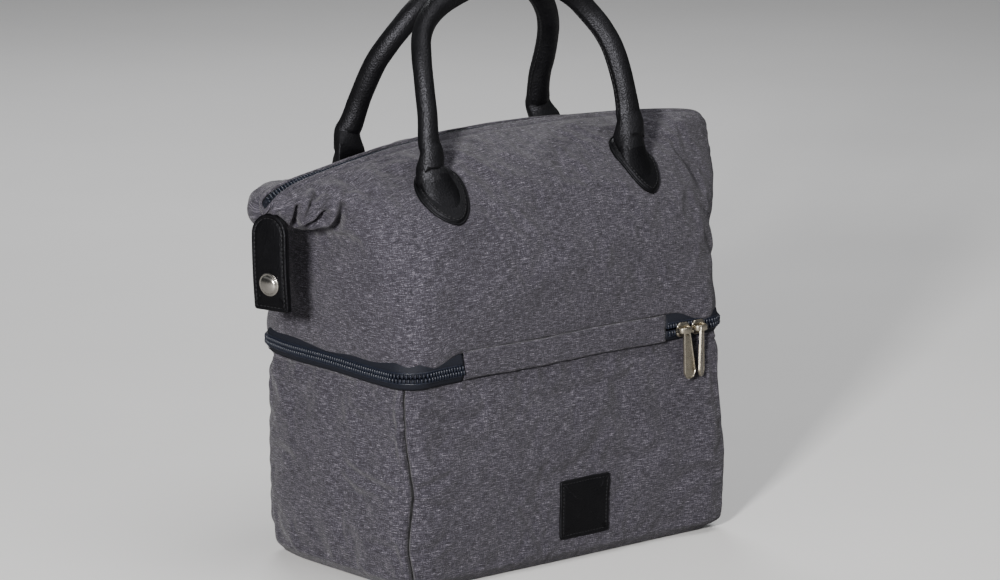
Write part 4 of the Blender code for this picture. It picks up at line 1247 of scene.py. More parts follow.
def teeth(name, places, along, across, outward, length, height):
    """Coil loops: one rounded bar at each place, its long way across the zip."""
    width, sink = 1.5, 0.3
    n_rings, n_section = len(TOOTH_PROFILE), len(TOOTH_SECTION)
    along, across, outward = unit(along), unit(across), unit(outward)
    verts = np.zeros((len(places), n_rings, n_section, 3))
    for r, (share, tall, wide) in enumerate(TOOTH_PROFILE):
        for k, (side, rise) in enumerate(TOOTH_SECTION):
            verts[:, r, k] = (places + across * (share * length) + along * (side * width * wide)
                              + outward * (rise * height * tall - sink))
    starts = np.arange(len(places)) * n_rings * n_section
    quads = grid_faces(n_rings, n_section, True, flip=True)
    faces = [tuple(quad) for quad in (quads[None] + starts[:, None, None]).reshape(-1, 4)]
    for start in starts:
        faces.append(tuple(start + k for k in range(n_section))[::-1])
        faces.append(tuple(start + (n_rings - 1) * n_section + k for k in range(n_section)))
    return make(name, verts, faces, COIL, slot="navy_zip_coil")


def tube(path, radius, count, up):
    """Round rings square to a path."""
    tangent = unit(np.gradient(path, axis=0))
    side = unit(np.cross(tangent, np.broadcast_to(up, path.shape)))
    normal = np.cross(side, tangent)
    angles = ring_angles(count)[None, :, None]
    circle = np.cos(angles) * side[:, None] + np.sin(angles) * normal[:, None]
    return path[:, None] + radius * circle


def compartment_chain(name, sign, body, node):
    """Coil on one side of the zip; sign is 1 above the middle and -1 below."""
    dist = np.arange(ZIP_START + 1.0, ZIP_END - 1.0, TOOTH_PITCH)
    dist = dist + (TOOTH_PITCH / 2 if sign > 0 else 0)
    points, _ = plan(dist)
    x, y = points[:, 0], points[:, 1]
    # the chain parts a little on the right of the front
    parted = 0.9 * smooth(-124, -112, -x) * (y < 0) * (x > 0)
    middle = CHAIN_Z + zip_wave(dist)
    z = middle + sign * (1.55 + parted)
    out = zip_out(dist)
    places, normals = around(dist, z, 1.35 + out)
    ahead, _ = around(dist + 0.5, z, 1.35 + out)
    across = np.tile(UP, (len(dist), 1))
    chain = teeth(name, places, ahead - places, across, normals, length=3.3, height=1.7)
    attach(chain, body, node)
    # cord beside the loops
    path, _ = around(dist, middle + sign * (3.55 + parted), 0.95 + out)
    attach(loft(name + "_cord", tube(path, 0.55, 8, UP), COIL, "navy_zip_coil"), body)


for level, sign in (("lower", -1), ("upper", 1)):
    compartment_chain(f"compartment_zip_chain_{level}", sign,
                      f"{level}_compartment", f"compartment_zip_{level}_coil")

# ---------------------------------------------------------------- mouth zip
MOUTH_ZIP_END = 192.5
# distance from the middle line, drop, and place across the tape
MOUTH_TAPE = [(0.35, 0.0, 0), (1.5, 0.0, 1.2), (3.0, 0.0, 2.7), (4.4, -0.3, 4.1), (6.4, -1.0, 6.2)]


def mouth_zip(side, facing, end_node):
    """Coil and tape of one side of the mouth zip; facing is -1 in front and 1 behind."""
    cols = np.linspace(5.6, -5.6, 400)
    edge = surf(cols if facing < 0 else REAR_COL - cols, 7.0)
    edge = edge[np.abs(edge[:, 0]) < 195]
    # the zip follows the plain arc where the fabric stands fuller beside it
    edge_x = edge[:, 0]
    edge_z = np.minimum(edge[:, 2], np.where(np.abs(edge_x) < 160, arc_z(edge_x), 1e9))

    def zip_z(x, drop):
        return np.interp(x, edge_x, edge_z) - drop + 1.5 * smooth(135, 170, np.abs(x)) * (x < 0)

    x = np.arange(-MOUTH_ZIP_END, MOUTH_ZIP_END, TOOTH_PITCH)
    x = x + (TOOTH_PITCH / 2 if facing > 0 else 0)
    places = np.stack([x, np.full_like(x, facing * 1.45), zip_z(x, 2.1)], -1)
    along = np.gradient(places, axis=0)
    across = np.tile([0, 1.0, 0], (len(x), 1))
    outward = unit(np.cross(along, across))
    outward *= np.sign(outward[:, 2:3])
    chain = teeth(f"mouth_zip_chain_{side}", places, along, across, outward, length=3.2, height=1.6)
    soft_blend(chain, mouth_weight(x, 7.0))
    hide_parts(f"mouth_zip_{side}_coil", end_node)

    x = np.linspace(-MOUTH_ZIP_END - 1, MOUTH_ZIP_END + 1, 220)
    z = zip_z(x, 2.5)
    points = np.array([
        np.stack([x, np.full_like(x, facing * y), z + dz], -1) for y, dz, _ in MOUTH_TAPE])
    uv = np.stack(np.broadcast_arrays(x, np.array(MOUTH_TAPE)[:, 2:]), -1)
    tape = grid(f"mouth_zip_tape_{side}", points, TAPE, uv, thick=0.6,
                slot="navy_zip_tape", flip=facing > 0)
    soft_blend(tape, mouth_weight(points[..., 0], 7.0))
    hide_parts(f"mouth_zip_{side}_tape")


def mouth_gusset(name, sign):
    """Tape across the last millimetres of the mouth; sign is -1 on the left, 1 on the right."""
    cols = np.linspace(4.55, 5.9, 22)
    front, rear = surf(-sign * cols, 7.0), surf(REAR_COL + sign * cols, 7.0)
    t = np.linspace(0.04, 0.96, 11)[:, None, None]
    points = front * (1 - t) + rear * t
    points[..., 0] -= sign * 0.5
    points[..., 2] -= 1.1 + 0.7 * np.sin(math.pi * t[..., 0])
    uv = np.stack(np.broadcast_arrays(np.linspace(0, 9.0, len(cols)), points[..., 1]), -1)
    obj = grid(name, points, TAPE, uv, thick=0.6, slot="navy_zip_tape", flip=sign > 0)
    attach(obj, "upper_compartment")


def hem_stitch(side, centre):
    """Top stitching along one hem of the mouth."""
    hem_row = 6.80
    cols = np.linspace(5.3, -5.3, 500)
    cols = cols if centre == FRONT_COL else REAR_COL - cols
    points, normals, out = upper_skin(cols, np.full_like(cols, hem_row))
    path = points + normals * (out - 0.7 + 0.12)[:, None]
    obj, places = stitch_line(f"mouth_hem_stitch_{side}", path, normals, GREY_THREAD,
                              pitch=3.1, width=0.6, height=0.3)
    weight = mouth_weight(places[:, 0], hem_row)
    soft_blend(obj, weight)


mouth_zip("front", -1, "mouth_zip_left_end")
mouth_zip("rear", 1, "mouth_zip_right_end")
mouth_gusset("mouth_zip_gusset_left", -1)
mouth_gusset("mouth_zip_gusset_right", 1)
hem_stitch("front", FRONT_COL)
hem_stitch("rear", REAR_COL)


# ---------------------------------------------------------------- leather plates
def rounded_poly(points, radius, per):
    """Polygon with rounded corners; radius is one number or one per corner."""
    points = [np.array(p, float) for p in points]
    radii = radius if isinstance(radius, list) else [radius] * len(points)
    outline = []
    for i, corner in enumerate(points):
        before, after = points[i - 1] - corner, points[(i + 1) % len(points)] - corner
        len_before, len_after = np.linalg.norm(before), np.linalg.norm(after)
        before, after = before / len_before, after / len_after
        half = math.acos(np.clip(before @ after, -1, 1)) / 2
        r = min(radii[i], 0.49 * min(len_before, len_after) * math.tan(half))
        centre = corner + unit(before + after) * (r / math.sin(half))
        start = corner + before * (r / math.tan(half)) - centre
        end = corner + after * (r / math.tan(half)) - centre
        angle0, angle1 = math.atan2(start[1], start[0]), math.atan2(end[1], end[0])
        while angle1 - angle0 > math.pi:
            angle1 -= TAU
        while angle1 - angle0 < -math.pi:
            angle1 += TAU
        for k in range(per + 1):
            angle = angle0 + (angle1 - angle0) * k / per
            outline.append(centre + r * np.array([math.cos(angle), math.sin(angle)]))
    return np.array(outline)


def even_outline(outline, step):
    """Closed outline resampled at about step."""
    return resample(np.vstack([outline, outline[:1]]), step)[0][:-1]


def inset(outline, depth):
    """Outline moved inwards along its own normals."""
    tangent = np.roll(outline, -1, 0) - np.roll(outline, 1, 0)
    normal = unit(np.stack([-tangent[:, 1], tangent[:, 0]], 1))
    if ((outline.mean(0) - outline) * normal).sum() < 0:
        normal = -normal
    return outline + normal * depth


def leather_plate(name, outline, layers, place, mat):
    """Closed stack of rings, layers being (inset, height).

    place maps rows of (a, b, height) to millimetres."""
    rings = [at_height(inset(outline, depth), height) for depth, height in layers]
    first, last = rings[0], rings[-1]
    centre = last[:, :2].mean(0)

    def shrunk(ring, share):
        return np.column_stack([centre + (ring[:, :2] - centre) * share, ring[:, 2:]])

    under = [shrunk(first, share) for share in (0.05, 0.35, 0.7)]
    over = [shrunk(last, share) for share in (0.8, 0.6, 0.4, 0.2, 0.05)]
    rings = np.array(under + rings + over)
    obj = make(name, place(rings.reshape(-1, 3)), capped_faces(*rings.shape[:2]), mat,
               slot="black_leather")
    fix_normals(obj)
    return obj


def outline_stitch(name, outline, depth, height, place, normal, body, pitch, width):
    """Stitches round a plate, depth in from its edge."""
    points = even_outline(inset(outline, depth), pitch)
    tangent = np.roll(points, -1, 0) - np.roll(points, 1, 0)
    local = at_height(points, height)
    placed = place(local)
    directions = place(local + at_height(unit(tangent) * 0.2, 0.0)) - placed
    obj = stitches(name, placed, directions, normal(local), DARK_THREAD,
                   length=pitch * 0.7, width=width, height=0.4)
    attach(obj, body)


# ---------------------------------------------------------------- label
LABEL_LAYERS = [
    (0.2, 0.0), (0.0, 0.5), (0.1, 1.1), (0.5, 1.5), (1.0, 1.65),
    (1.9, 1.6), (2.3, 1.15), (2.8, 1.1), (3.3, 1.5), (4.0, 1.6)]


def label_place(local):
    x, z = local[:, 0] + LABEL_X, local[:, 1] + LABEL_Z
    fabric = lower_skin(np.mod(-x, PERIMETER), z)
    return np.stack([x, fabric[:, 1] - 0.25 - local[:, 2], z], 1)


def label_patch():
    """Blank leather rectangle low on the front."""
    w, h = LABEL_HALF_W, LABEL_HALF_H
    outline = even_outline(rounded_poly([(-w, -h), (w, -h), (w, h), (-w, h)], 1.6, per=6), 1.6)
    obj = leather_plate("label_patch_leather", outline, LABEL_LAYERS, label_place, LEATHER_PATCH)
    attach(obj, "lower_compartment", "label_patch")
    outline_stitch("label_patch_stitch", outline, 2.55, 1.15, label_place,
                   lambda local: np.tile([0, -1.0, 0], (len(local), 1)),
                   "lower_compartment", pitch=2.6, width=0.65)


label_patch()

# ---------------------------------------------------------------- handle leaves
# net row at the leaf's origin, and millimetres per net row
LEAF_ROW, LEAF_ROW_MM = 4.42, 23.0
# outline of a leaf: (towards the middle of the bag, up the panel)
LEAF = [
    (0.5, -21.6), (5.0, -21.2), (9.2, -18.6), (13.0, -14.2), (16.2, -8.8), (18.6, -3.0),
    (20.4, 3.6), (21.6, 10.0), (21.6, 16.0), (19.6, 21.4), (15.6, 25.4), (10.0, 27.6),
    (4.0, 27.8), (-1.8, 26.0), (-6.8, 22.4), (-10.4, 17.2), (-12.8, 11.0), (-13.8, 4.0),
    (-13.2, -3.0), (-10.8, -10.4), (-6.0, -17.4)]
LEAF_LAYERS = [
    (0.3, 0.05), (0.0, 0.6), (0.0, 1.3), (0.3, 1.75), (0.7, 1.9), (1.15, 1.75),
    (1.4, 1.5), (1.7, 1.75), (2.0, 2.4), (2.5, 2.8), (3.2, 3.0), (4.4, 3.0)]
LEAF_TOP = LEAF_LAYERS[-1][1]


def column_at(x, row, centre):
    """Column of the front or rear where the surface has the given x, by halving."""
    x, row = np.broadcast_arrays(np.asarray(x, float), np.asarray(row, float))
    low, high = np.zeros_like(x), np.full_like(x, 3.0)
    for _ in range(26):
        middle = (low + high) / 2
        less = -surf(middle, row)[..., 0] < np.abs(x)
        low, high = np.where(less, middle, low), np.where(less, high, middle)
    col = np.where(x < 0, low, -low)
    return col if centre == FRONT_COL else REAR_COL - col


def leaf_point(origin_x, centre, across, up, height):
    """Points and normals over the fabric: across towards +x, up the panel."""
    row = np.clip(LEAF_ROW + up / LEAF_ROW_MM, 0, 7)
    points, normals, out = upper_skin(column_at(origin_x + across, row, centre), row)
    return points + normals * (out + height)[..., None], normals


def leaf_outline(sign):
    """sign is -1 for the left leaf and 1 for the right."""
    inner, outer, per = (1.0 if sign < 0 else 0.86), 1.08, 8
    points = np.array([(-sign * a * (inner if a > 0 else outer), b) for a, b in LEAF])
    # neighbours on both sides close the curve smoothly; one turn of it is kept
    loop = curve_through(np.vstack([points[-2:], points, points[:3]]), per)
    return even_outline(loop[2 * per : (2 + len(LEAF)) * per], 1.6)


def root_axis(up, sign):
    """Where the handle's root lies across the leaf, towards the middle of the bag."""
    left, right = [1.5, 2.2, 2.2, 1.2, 0.4, 0.2], [1.5, 2.4, 3.0, 3.4, 2.8, 1.5]
    return np.interp(up, [-21, -10, 0, 10, 20, 28], left if sign < 0 else right)


def handle_leaf(side, face, sign, centre):
    def place(local):
        return leaf_point(sign * HANDLE_X, centre, *local.T)[0]

    def normal(local):
        return leaf_point(sign * HANDLE_X, centre, *local.T)[1]

    node, body = f"{face}_handle_leaf_{side}", f"{face}_mouth"
    outline = leaf_outline(sign)
    obj = leather_plate(f"{node}_leather", outline, LEAF_LAYERS, place, LEATHER_FLAT)
    attach(obj, body, node)
    outline_stitch(f"{node}_leather_stitch", outline, 3.4, LEAF_TOP, place, normal, body,
                   pitch=2.7, width=0.6)


# ---------------------------------------------------------------- handles
# centre line of the right leg (x, y, z) from above the leaf to the top of the arch
FRONT_LEG = [
    (88.1, -43.4, 288.0), (88.3, -41.2, 293.0), (88.2, -39.9, 300.0), (87.0, -37.9, 312),
    (85.8, -34.2, 325), (83.8, -29.6, 338), (80.2, -23.4, 350), (74.0, -16.2, 361.5),
    (64.5, -12.0, 372.5), (49, -10.4, 382.0), (27, -9.8, 388.6), (0, -9.6, 391.0)]
REAR_LEG = [
    (85.0, 49.8, 288.0), (83.6, 47.8, 293.5), (82.0, 45.4, 301.0), (80.3, 41.6, 312),
    (78.9, 35.4, 325), (76.2, 29.3, 338), (71.3, 22.8, 350), (64.2, 17.2, 361.5),
    (54.8, 13.6, 372.5), (41, 11.6, 382.0), (22, 10.9, 388.2), (0, 10.7, 390.2)]
# root lying on the leaf: up the leaf, half width, crown, power of the dome
ROOT = [
    (-12.5, 2.5, -0.5, 1.7), (-11.5, 5.0, -0.2, 1.7), (-9.0, 7.4, 0.25, 1.7),
    (-5.5, 9.2, 0.9, 1.6), (-1.5, 10.6, 2.0, 1.5), (2.2, 11.5, 3.7, 1.35), (5.6, 12.0, 5.8, 1.2),
    (8.8, 12.2, 8.0, 1.05), (11.8, 12.1, 10.0, 0.95), (14.4, 11.9, 11.6, 0.88),
    (16.6, 11.6, 12.8, 0.82)]
ROOT_SINK = 0.7
RING_COUNT = 48
RING = ring_angles(RING_COUNT)


def dee(half_height, flat, power=0.8):
    """Outward offset round a ring: a dome on a flat underside, or an oval if flat is 0."""
    rise = 2 * half_height * np.clip(np.sin(RING), 0, 1) ** power
    dome = -half_height + rise - 0.7 * np.clip(-np.sin(RING), 0, 1)
    return flat * dome + (1 - flat) * half_height * np.sin(RING)


def root_rings(sign, centre):
    """Rings of the handle's root on its leaf, and their centres."""
    rings, centres = [], []
    for up, half_width, crown, power in ROOT:
        half = (crown + ROOT_SINK) / 2
        middle = LEAF_TOP - ROOT_SINK + half
        axis = root_axis(up, sign)
        across = sign * (half_width * np.cos(RING) - axis)
        height = middle + dee(half, 1.0, power)
        rings.append(leaf_point(sign * HANDLE_X, centre, across, up, height)[0])
        axis_point = leaf_point(sign * HANDLE_X, centre, np.array([-sign * axis]), up, middle)
        centres.append(axis_point[0][0])
    return rings, centres


def leg_rings(sign, facing, leg, centre):
    """Rings from the leaf's tip up to the top of the arch on one side."""
    rings, centres = root_rings(sign, centre)
    stations = np.array([(sign * x, y, z) for x, y, z in leg])
    per = 12
    path = curve_through(np.vstack([centres[-2:], stations]), per)[per:]
    path, along = resample(path, 2.0)
    tangent = unit(np.gradient(path, axis=0))
    tangent[0] = unit(centres[-1] - centres[-2] + 2 * (path[1] - path[0]))
    # the frame starts across the bag and is carried along the tube
    across_bag = np.array([1.0, 0, 0])
    side = np.empty_like(tangent)
    side[0] = unit(across_bag - (tangent[0] @ across_bag) * tangent[0])
    for i in range(1, len(tangent)):
        carried = side[i - 1] - (side[i - 1] @ tangent[i]) * tangent[i]
        side[i] = carried / np.linalg.norm(carried)
    outward = np.cross(tangent, side)
    if outward[0] @ np.array([0, facing * 1.0, 0.2]) < 0:
        outward = -outward
    # the left leg of the front handle is slimmer low down
    slim = np.ones(len(along))
    if sign < 0 and facing < 0:
        slim = 0.88 + 0.12 * smooth(95, 130, along)
    wide = np.interp(along, [0, 5, 10, 15, 21, 30, 42], [11.5, 11.2, 10.4, 9.5, 8.6, 7.9, HANDLE_R])
    deep = np.interp(along, [0, 5, 10, 16, 24, 34], [6.7, 7.1, 7.4, 7.6, 7.7, HANDLE_R])
    from_seam = np.abs(RING - math.pi)
    seam = 0.085 * bell(from_seam, 0.24, 0.13) - 0.07 * bell(from_seam, 0.0, 0.09)
    for i in range(1, len(path)):
        flat = 1 - float(smooth(0, 15, along[i]))
        lips = 1 + float(smooth(6, 22, along[i])) * seam
        across = sign * wide[i] * slim[i] * np.cos(RING) * lips
        out = dee(deep[i] * slim[i], flat) * lips
        rings.append(path[i] + across[:, None] * side[i] + out[:, None] * outward[i])
    return np.array(rings)


def handle(face, facing, leg, centre):
    """Rolled leather arch from leaf to leaf, with a stitched seam."""
    mouth, body = f"{face}_mouth", f"{face}_handle"
    left, right = (leg_rings(sign, facing, leg, centre) for sign in (-1, 1))
    # match the ring numbering of the right leg to the left where they meet
    order = np.arange(RING_COUNT)
    orders = [np.roll(way, k) for way in (order, order[::-1]) for k in range(RING_COUNT)]
    best = min(orders, key=lambda idx: np.linalg.norm(left[-1] - right[-1][idx], axis=1).sum())
    rings = np.concatenate([left, right[:, best][::-1][1:]])
    middles = rings.mean(1)
    along = lengths_along(middles)
    from_end = np.minimum(along, along[-1] - along)
    # uneven hide
    soft = 1 + 0.018 * layered_noise(rings, 13.0, seed=55, octaves=2)[..., None]
    rings = middles[:, None] + (rings - middles[:, None]) * soft
    obj = loft(f"{face}_handle_leather", rings, LEATHER, "black_leather")
    # the feet get the flat leather of the leaves
    mesh = obj.data
    mesh.materials.append(LEATHER_FLAT)
    face_centres = np.zeros(len(mesh.polygons) * 3)
    mesh.polygons.foreach_get("center", face_centres)
    ring_centres = rings.mean(1) * MM
    nearest = [np.abs(ring_centres - c).sum(1).argmin() for c in face_centres.reshape(-1, 3)]
    mesh.polygons.foreach_set("material_index", (from_end[nearest] < 27).astype(np.int32))
    weight = smooth(30, 52, from_end)
    soft_blend(obj,
               np.concatenate([np.repeat(weight, RING_COUNT), [weight[0], weight[-1]]]))
    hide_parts(f"{face}_handle_sleeve", f"{face}_handle_core")
    # stitches down the inner side of the arch
    inward = np.array([0.0, facing * 25.0, 300.0]) - middles
    inward[:, 1] *= 0.2
    tangent = unit(np.gradient(middles, axis=0))
    inward = unit(inward - (inward * tangent).sum(1, keepdims=True) * tangent)
    keep = from_end > 52
    path = (middles + inward * (HANDLE_R * 1.03))[keep]
    line, _ = stitch_line(f"{face}_handle_stitch", path, inward[keep], DARK_THREAD,
                          pitch=3.4, width=0.8, height=0.45)
    attach(line, body)


for side, sign in (("left", -1), ("right", 1)):
    handle_leaf(side, "front", sign, FRONT_COL)
    handle_leaf(side, "rear", sign, REAR_COL)
handle("front", -1, FRONT_LEG, FRONT_COL)
handle("rear", 1, REAR_LEG, REAR_COL)

# ---------------------------------------------------------------- end tabs
TAB_HALF_W, TAB_BOTTOM, TAB_TOP = 14.0, 190.0, 255.0
TAB_X, TAB_PIVOT_X, TAB_LEAN_Z = 197.0, 199.1, 251.0
SNAP_Z = 208.0
TAB_LAYERS = [
    (0.5, 0.0), (0.1, 0.25), (0.0, 0.8), (0.15, 1.5), (0.55, 1.9), (0.15, 2.3), (0.0, 3.0),
    (0.1, 3.7), (0.5, 4.15), (1.1, 4.3), (2.0, 4.25), (2.5, 3.9), (3.0, 3.9), (3.6, 4.2),
    (5.0, 4.3)]
# lathe profiles of the snap: (radius, height over the tab's inner face)
SNAP_CAP = [
    (7.5, 3.9), (7.9, 4.3), (7.9, 4.9), (7.5, 5.4), (6.9, 5.5), (6.5, 5.25), (6.3, 5.4),
] + [(6.2 * math.cos(a), 5.4 + 1.9 * math.sin(a)) for a in np.linspace(0.12, 1.5, 9)]
SNAP_BASE = [
    (5.8, 0.5), (5.8, -0.5), (5.2, -1.0), (3.4, -1.1), (2.9, -0.6), (2.0, -0.5), (0.4, -0.5)]


def end_tab(side, sign, turn, lean, shift):
    """Leather tab with a snap, hanging from an ear.

    turn and lean are in degrees; shift moves the turned tab in x and y."""
    body = f"{side}_tab"
    half = TAB_HALF_W
    corners = [(-half, TAB_BOTTOM), (half, TAB_BOTTOM), (half, TAB_TOP - 0.5), (-half, TAB_TOP - 0.5)]
    outline = even_outline(rounded_poly(corners, [1.8, 1.8, half * 0.98, half * 0.98], per=14), 1.5)
    cos_turn, sin_turn = math.cos(math.radians(turn)), math.sin(math.radians(turn))
    slant = math.tan(math.radians(lean))

    def place(local):
        y, z, height = local.T
        bend = 1.2 * np.sin((z - TAB_BOTTOM) / (TAB_TOP - TAB_BOTTOM) * math.pi)
        bend = bend - 0.9 * smooth(240, TAB_TOP, z)
        pivot = sign * TAB_PIVOT_X
        dx = sign * (TAB_X + height + bend - 0.012 * (y / 3) ** 2) - pivot
        return np.stack([
            pivot + shift[0] + cos_turn * dx - sin_turn * y,
            shift[1] + sin_turn * dx + cos_turn * y + (z - TAB_LEAN_Z) * slant,
            z,
        ], 1)

    def normal(local):
        return unit(place(local + UP * 0.1) - place(local))

    obj = leather_plate(f"{side}_end_tab_leather", outline, TAB_LAYERS, place, LEATHER_FLAT)
    attach(obj, body, f"{side}_end_tab")
    outline_stitch(f"{side}_end_tab_stitch", outline, 2.75, 3.9, place, normal, body,
                   pitch=2.9, width=0.65)
    circle = ring_angles(40)
    for part, profile in (("cap", SNAP_CAP), ("base", SNAP_BASE)):
        rings = np.array([
            at_height(np.stack([r * np.cos(circle), r * np.sin(circle) + SNAP_Z], 1), height)
            for r, height in profile])
        snap = make(f"{side}_snap_{part}_metal", place(rings.reshape(-1, 3)),
                    capped_faces(*rings.shape[:2]), SNAP_NICKEL, slot="warm_nickel")
        fix_normals(snap)
        attach(snap, body, f"{side}_snap_{part}")


end_tab("left", -1, turn=15.0, lean=2.4, shift=(4.4, -5.0))
end_tab("right", 1, turn=-15.0, lean=-1.0, shift=(-4.4, 6.0))

# ---------------------------------------------------------------- sliders and pulls
# In their own frame these point outwards along -y; x runs along the zip of a slider.
SLIDER_OUTLINE = [
    (-5.7, -3.2), (-3.4, -5.0), (3.4, -5.0), (5.75, -3.0),
    (5.75, 3.0), (3.4, 5.0), (-3.4, 5.0), (-5.7, 3.2)]
# (inset, height) of the slider's body
SLIDER_LAYERS = [(0.4, 0.0), (0.0, 0.35), (0.0, 1.3), (0.3, 1.8), (0.9, 2.05), (2.2, 2.1)]
# centre line (x, y) of the bar bridging the body
BRIDGE = [
    (-5.0, -1.6), (-4.9, -3.6), (-4.2, -5.2), (-2.8, -6.15), (0, -6.5),
    (2.8, -6.15), (4.2, -5.2), (4.9, -3.6), (5.0, -1.6)]
PULL_Y = -5.0


def xz_ring(outline, y):
    return np.stack([outline[:, 0], np.full(len(outline), y), outline[:, 1]], 1)


def apply(matrix, verts):
    """Moves millimetre points by a matrix in metres."""
    matrix = np.array(matrix, float)
    return verts @ matrix[:3, :3].T + matrix[:3, 3] * 1000.0


def slider_mesh(to_world, bridge_height=1.0):
    """Body with chamfered corners and a bridge over it."""
    outline = even_outline(rounded_poly(SLIDER_OUTLINE, 1.0, per=3), 0.8)
    body = np.array([xz_ring(inset(outline, depth), -height) for depth, height in SLIDER_LAYERS])
    path = curve_through([(x, y * bridge_height if y < -2 else y, 0) for x, y in BRIDGE], 4)
    tangent = unit(np.gradient(path, axis=0))
    normal = np.stack([tangent[:, 1], -tangent[:, 0], np.zeros(len(tangent))], 1)
    corners = [(-0.65, -2.2), (0.65, -2.2), (0.65, 2.2), (-0.65, 2.2)]
    section = rounded_poly(corners, 0.45, per=3)
    bar = []
    for point, out in zip(path, normal):
        taper = 1 - 0.18 * abs(point[0]) / 5.0
        bar.append([point + out * a + UP * b * taper for a, b in section])
    bar = np.array(bar)
    verts, faces = merge([(rings, capped_faces(*rings.shape[:2])) for rings in (body, bar)])
    return apply(to_world, verts), faces


def pull_mesh(length, to_world):
    """Paddle with a bevelled rim, a window for the bridge and a sunk face on both sides."""
    shoulder = length - 4.6
    corners = [
        (-3.0, 1.9), (3.0, 1.9), (3.8, -6.0), (5.9, -shoulder), (3.4, -length),
        (-3.4, -length), (-5.9, -shoulder), (-3.8, -6.0)]
    radii = [1.4, 1.4, 5, 2.6, 3.4, 3.4, 2.6, 5]
    outline = even_outline(rounded_poly(corners, radii, per=5), 0.9)
    window = rounded_poly([(-1.55, 0.95), (1.55, 0.95), (1.55, -3.6), (-1.55, -3.6)], 0.7, per=4)
    window, _ = resample(np.vstack([window, window[:1]]), 0.3)
    # match the window's points to the outline's by angle round the eye
    eye = np.array([0.0, -1.3])
    outer_angles = np.arctan2(*(outline - eye).T[::-1])
    window_angles = np.arctan2(*(window - eye).T[::-1])
    inner = np.array([
        window[np.abs(np.mod(window_angles - a + math.pi, TAU) - math.pi).argmin()]
        for a in outer_angles])
    sunk = inset(outline, 1.15)
    step, rim = inset(outline, 0.95), inset(outline, 0.45)
    near, far = sunk * (1 - 0.35) + inner * 0.35, sunk * (1 - 0.8) + inner * 0.8
    half = [
        (inner, 0.55), (far, 0.75), (near, 0.7), (sunk, 0.72), (step, 1.0), (rim, 1.02),
        (outline, 0.6)]
    both = half + [(ring, -height) for ring, height in half[::-1]] + half[:1]
    rings = np.array([xz_ring(ring, PULL_Y + height) for ring, height in both])
    return apply(to_world, rings.reshape(-1, 3)), grid_faces(*rings.shape[:2], closed=True)


def hard_piece(name, mesh, body, node):
    obj = make(name, *mesh, NICKEL, slot="warm_nickel")
    fix_normals(obj, weld=True)
    obj.data.set_sharp_from_angle(angle=math.radians(38))
    attach(obj, body, node)


def rotation(degrees, axis):
    return Matrix.Rotation(math.radians(degrees), 4, axis)


# pulls swing about this bar
bar = Vector((0, PULL_Y, 0)) * MM
to_bar, from_bar = Matrix.Translation(bar), Matrix.Translation(-bar)

# compartment sliders: side, x, lean, twist
for side, x, lean, twist in (("left", 100.0, -4.0, 8.0), ("right", 114.0, 3.0, 34.0)):
    seat = Matrix.Translation(Vector((x, -HALF_D - 1.6, CHAIN_Z - 0.4)) * MM)
    hard_piece(f"{side}_slider_metal", slider_mesh(seat), f"{side}_slider_body", f"{side}_slider")
    swing = to_bar @ rotation(lean, "Y") @ rotation(twist, "Z") @ rotation(-2.0, "X") @ from_bar
    hard_piece(f"{side}_pull_metal", pull_mesh(34.0, seat @ swing),
               f"{side}_pull_body", f"{side}_pull")

# mouth slider, tilted to the arc of the mouth
MOUTH_SLIDER_X = 158.0
seat = Vector((MOUTH_SLIDER_X, 0.0, arc_z(MOUTH_SLIDER_X) + 0.2)) * MM
slope = Matrix.Rotation(math.asin(MOUTH_SLIDER_X / TOP_ARC_R), 4, "Y")
turn = Matrix.Translation(seat) @ slope @ Matrix.Rotation(math.pi, 4, "Z") @ rotation(-90, "X")
hard_piece("mouth_slider_metal", slider_mesh(turn, 0.86), "mouth_slider", "top_slider")
swing = turn @ to_bar @ rotation(14, "X") @ from_bar
hard_piece("mouth_pull_metal", pull_mesh(30.0, swing), "mouth_pull", "top_pull")


# ---------------------------------------------------------------- inside and base
def tub():
    """Liner of the lower compartment: walls from the rim down, then the floor."""
    cols = 220
    dist = np.linspace(0, PERIMETER, cols, endpoint=False)
    # (z, how far out from the plan)
    stations = [(142.6, -2.2), (143.0, -4.0), (141.5, -6.2), (132, -6.9)]
    stations += [(z, -7.2 - 0.6 * math.sin(z / 20)) for z in np.linspace(122, 24, 14)]
    stations += [(16, -8.0), (12.6, -9.6), (11.0, -13.0), (10.6, -20.0)]
    rings = [around(dist, z, out)[0] for z, out in stations]
    rings += [rings[-1] * (share, share, 1) for share in (0.8, 0.55, 0.3, 0.08)]
    points = np.array(rings)
    rough = layered_noise(points, 30.0, seed=71, octaves=2)
    z = points[..., 2]
    wall = smooth(12, 20, z) * (1 - smooth(128, 138, z))
    points = points - unit(points * (1, 1, 0)) * (0.7 * rough * wall)[..., None]
    points[..., 2] += 0.5 * rough * (1 - smooth(11, 14, points[..., 2]))
    # closed at the floor, open at the rim
    faces = [tuple(quad) for quad in grid_faces(len(points), cols, True, flip=True)]
    faces.append(tuple((len(points) - 1) * cols + k for k in range(cols)))
    obj = make("lower_liner_film", points, faces, FOIL, slot="silver_liner")
    thicken(obj, 0.5)
    attach(obj, "lower_compartment", "lower_liner", "lower_foam")


def ring_tube(name, mat, body, slot, *nodes, z, out, radius, flat):
    """Tube once round the plan; flat is its width against its height."""
    dist = np.linspace(0, PERIMETER, 260, endpoint=False)
    angles = ring_angles(12)
    rings = np.array([
        around(dist, z + radius * math.sin(a), out + radius * flat * math.cos(a))[0]
        for a in angles]).transpose(1, 0, 2)
    n, count = rings.shape[:2]
    faces = grid_faces(n + 1, count, True, flip=True) % (n * count)
    uv = np.stack(np.broadcast_arrays(dist[:, None], angles[None] * radius), -1)
    obj = make(name, rings, faces, mat, uv, slot)
    fix_normals(obj)
    attach(obj, body, *nodes)


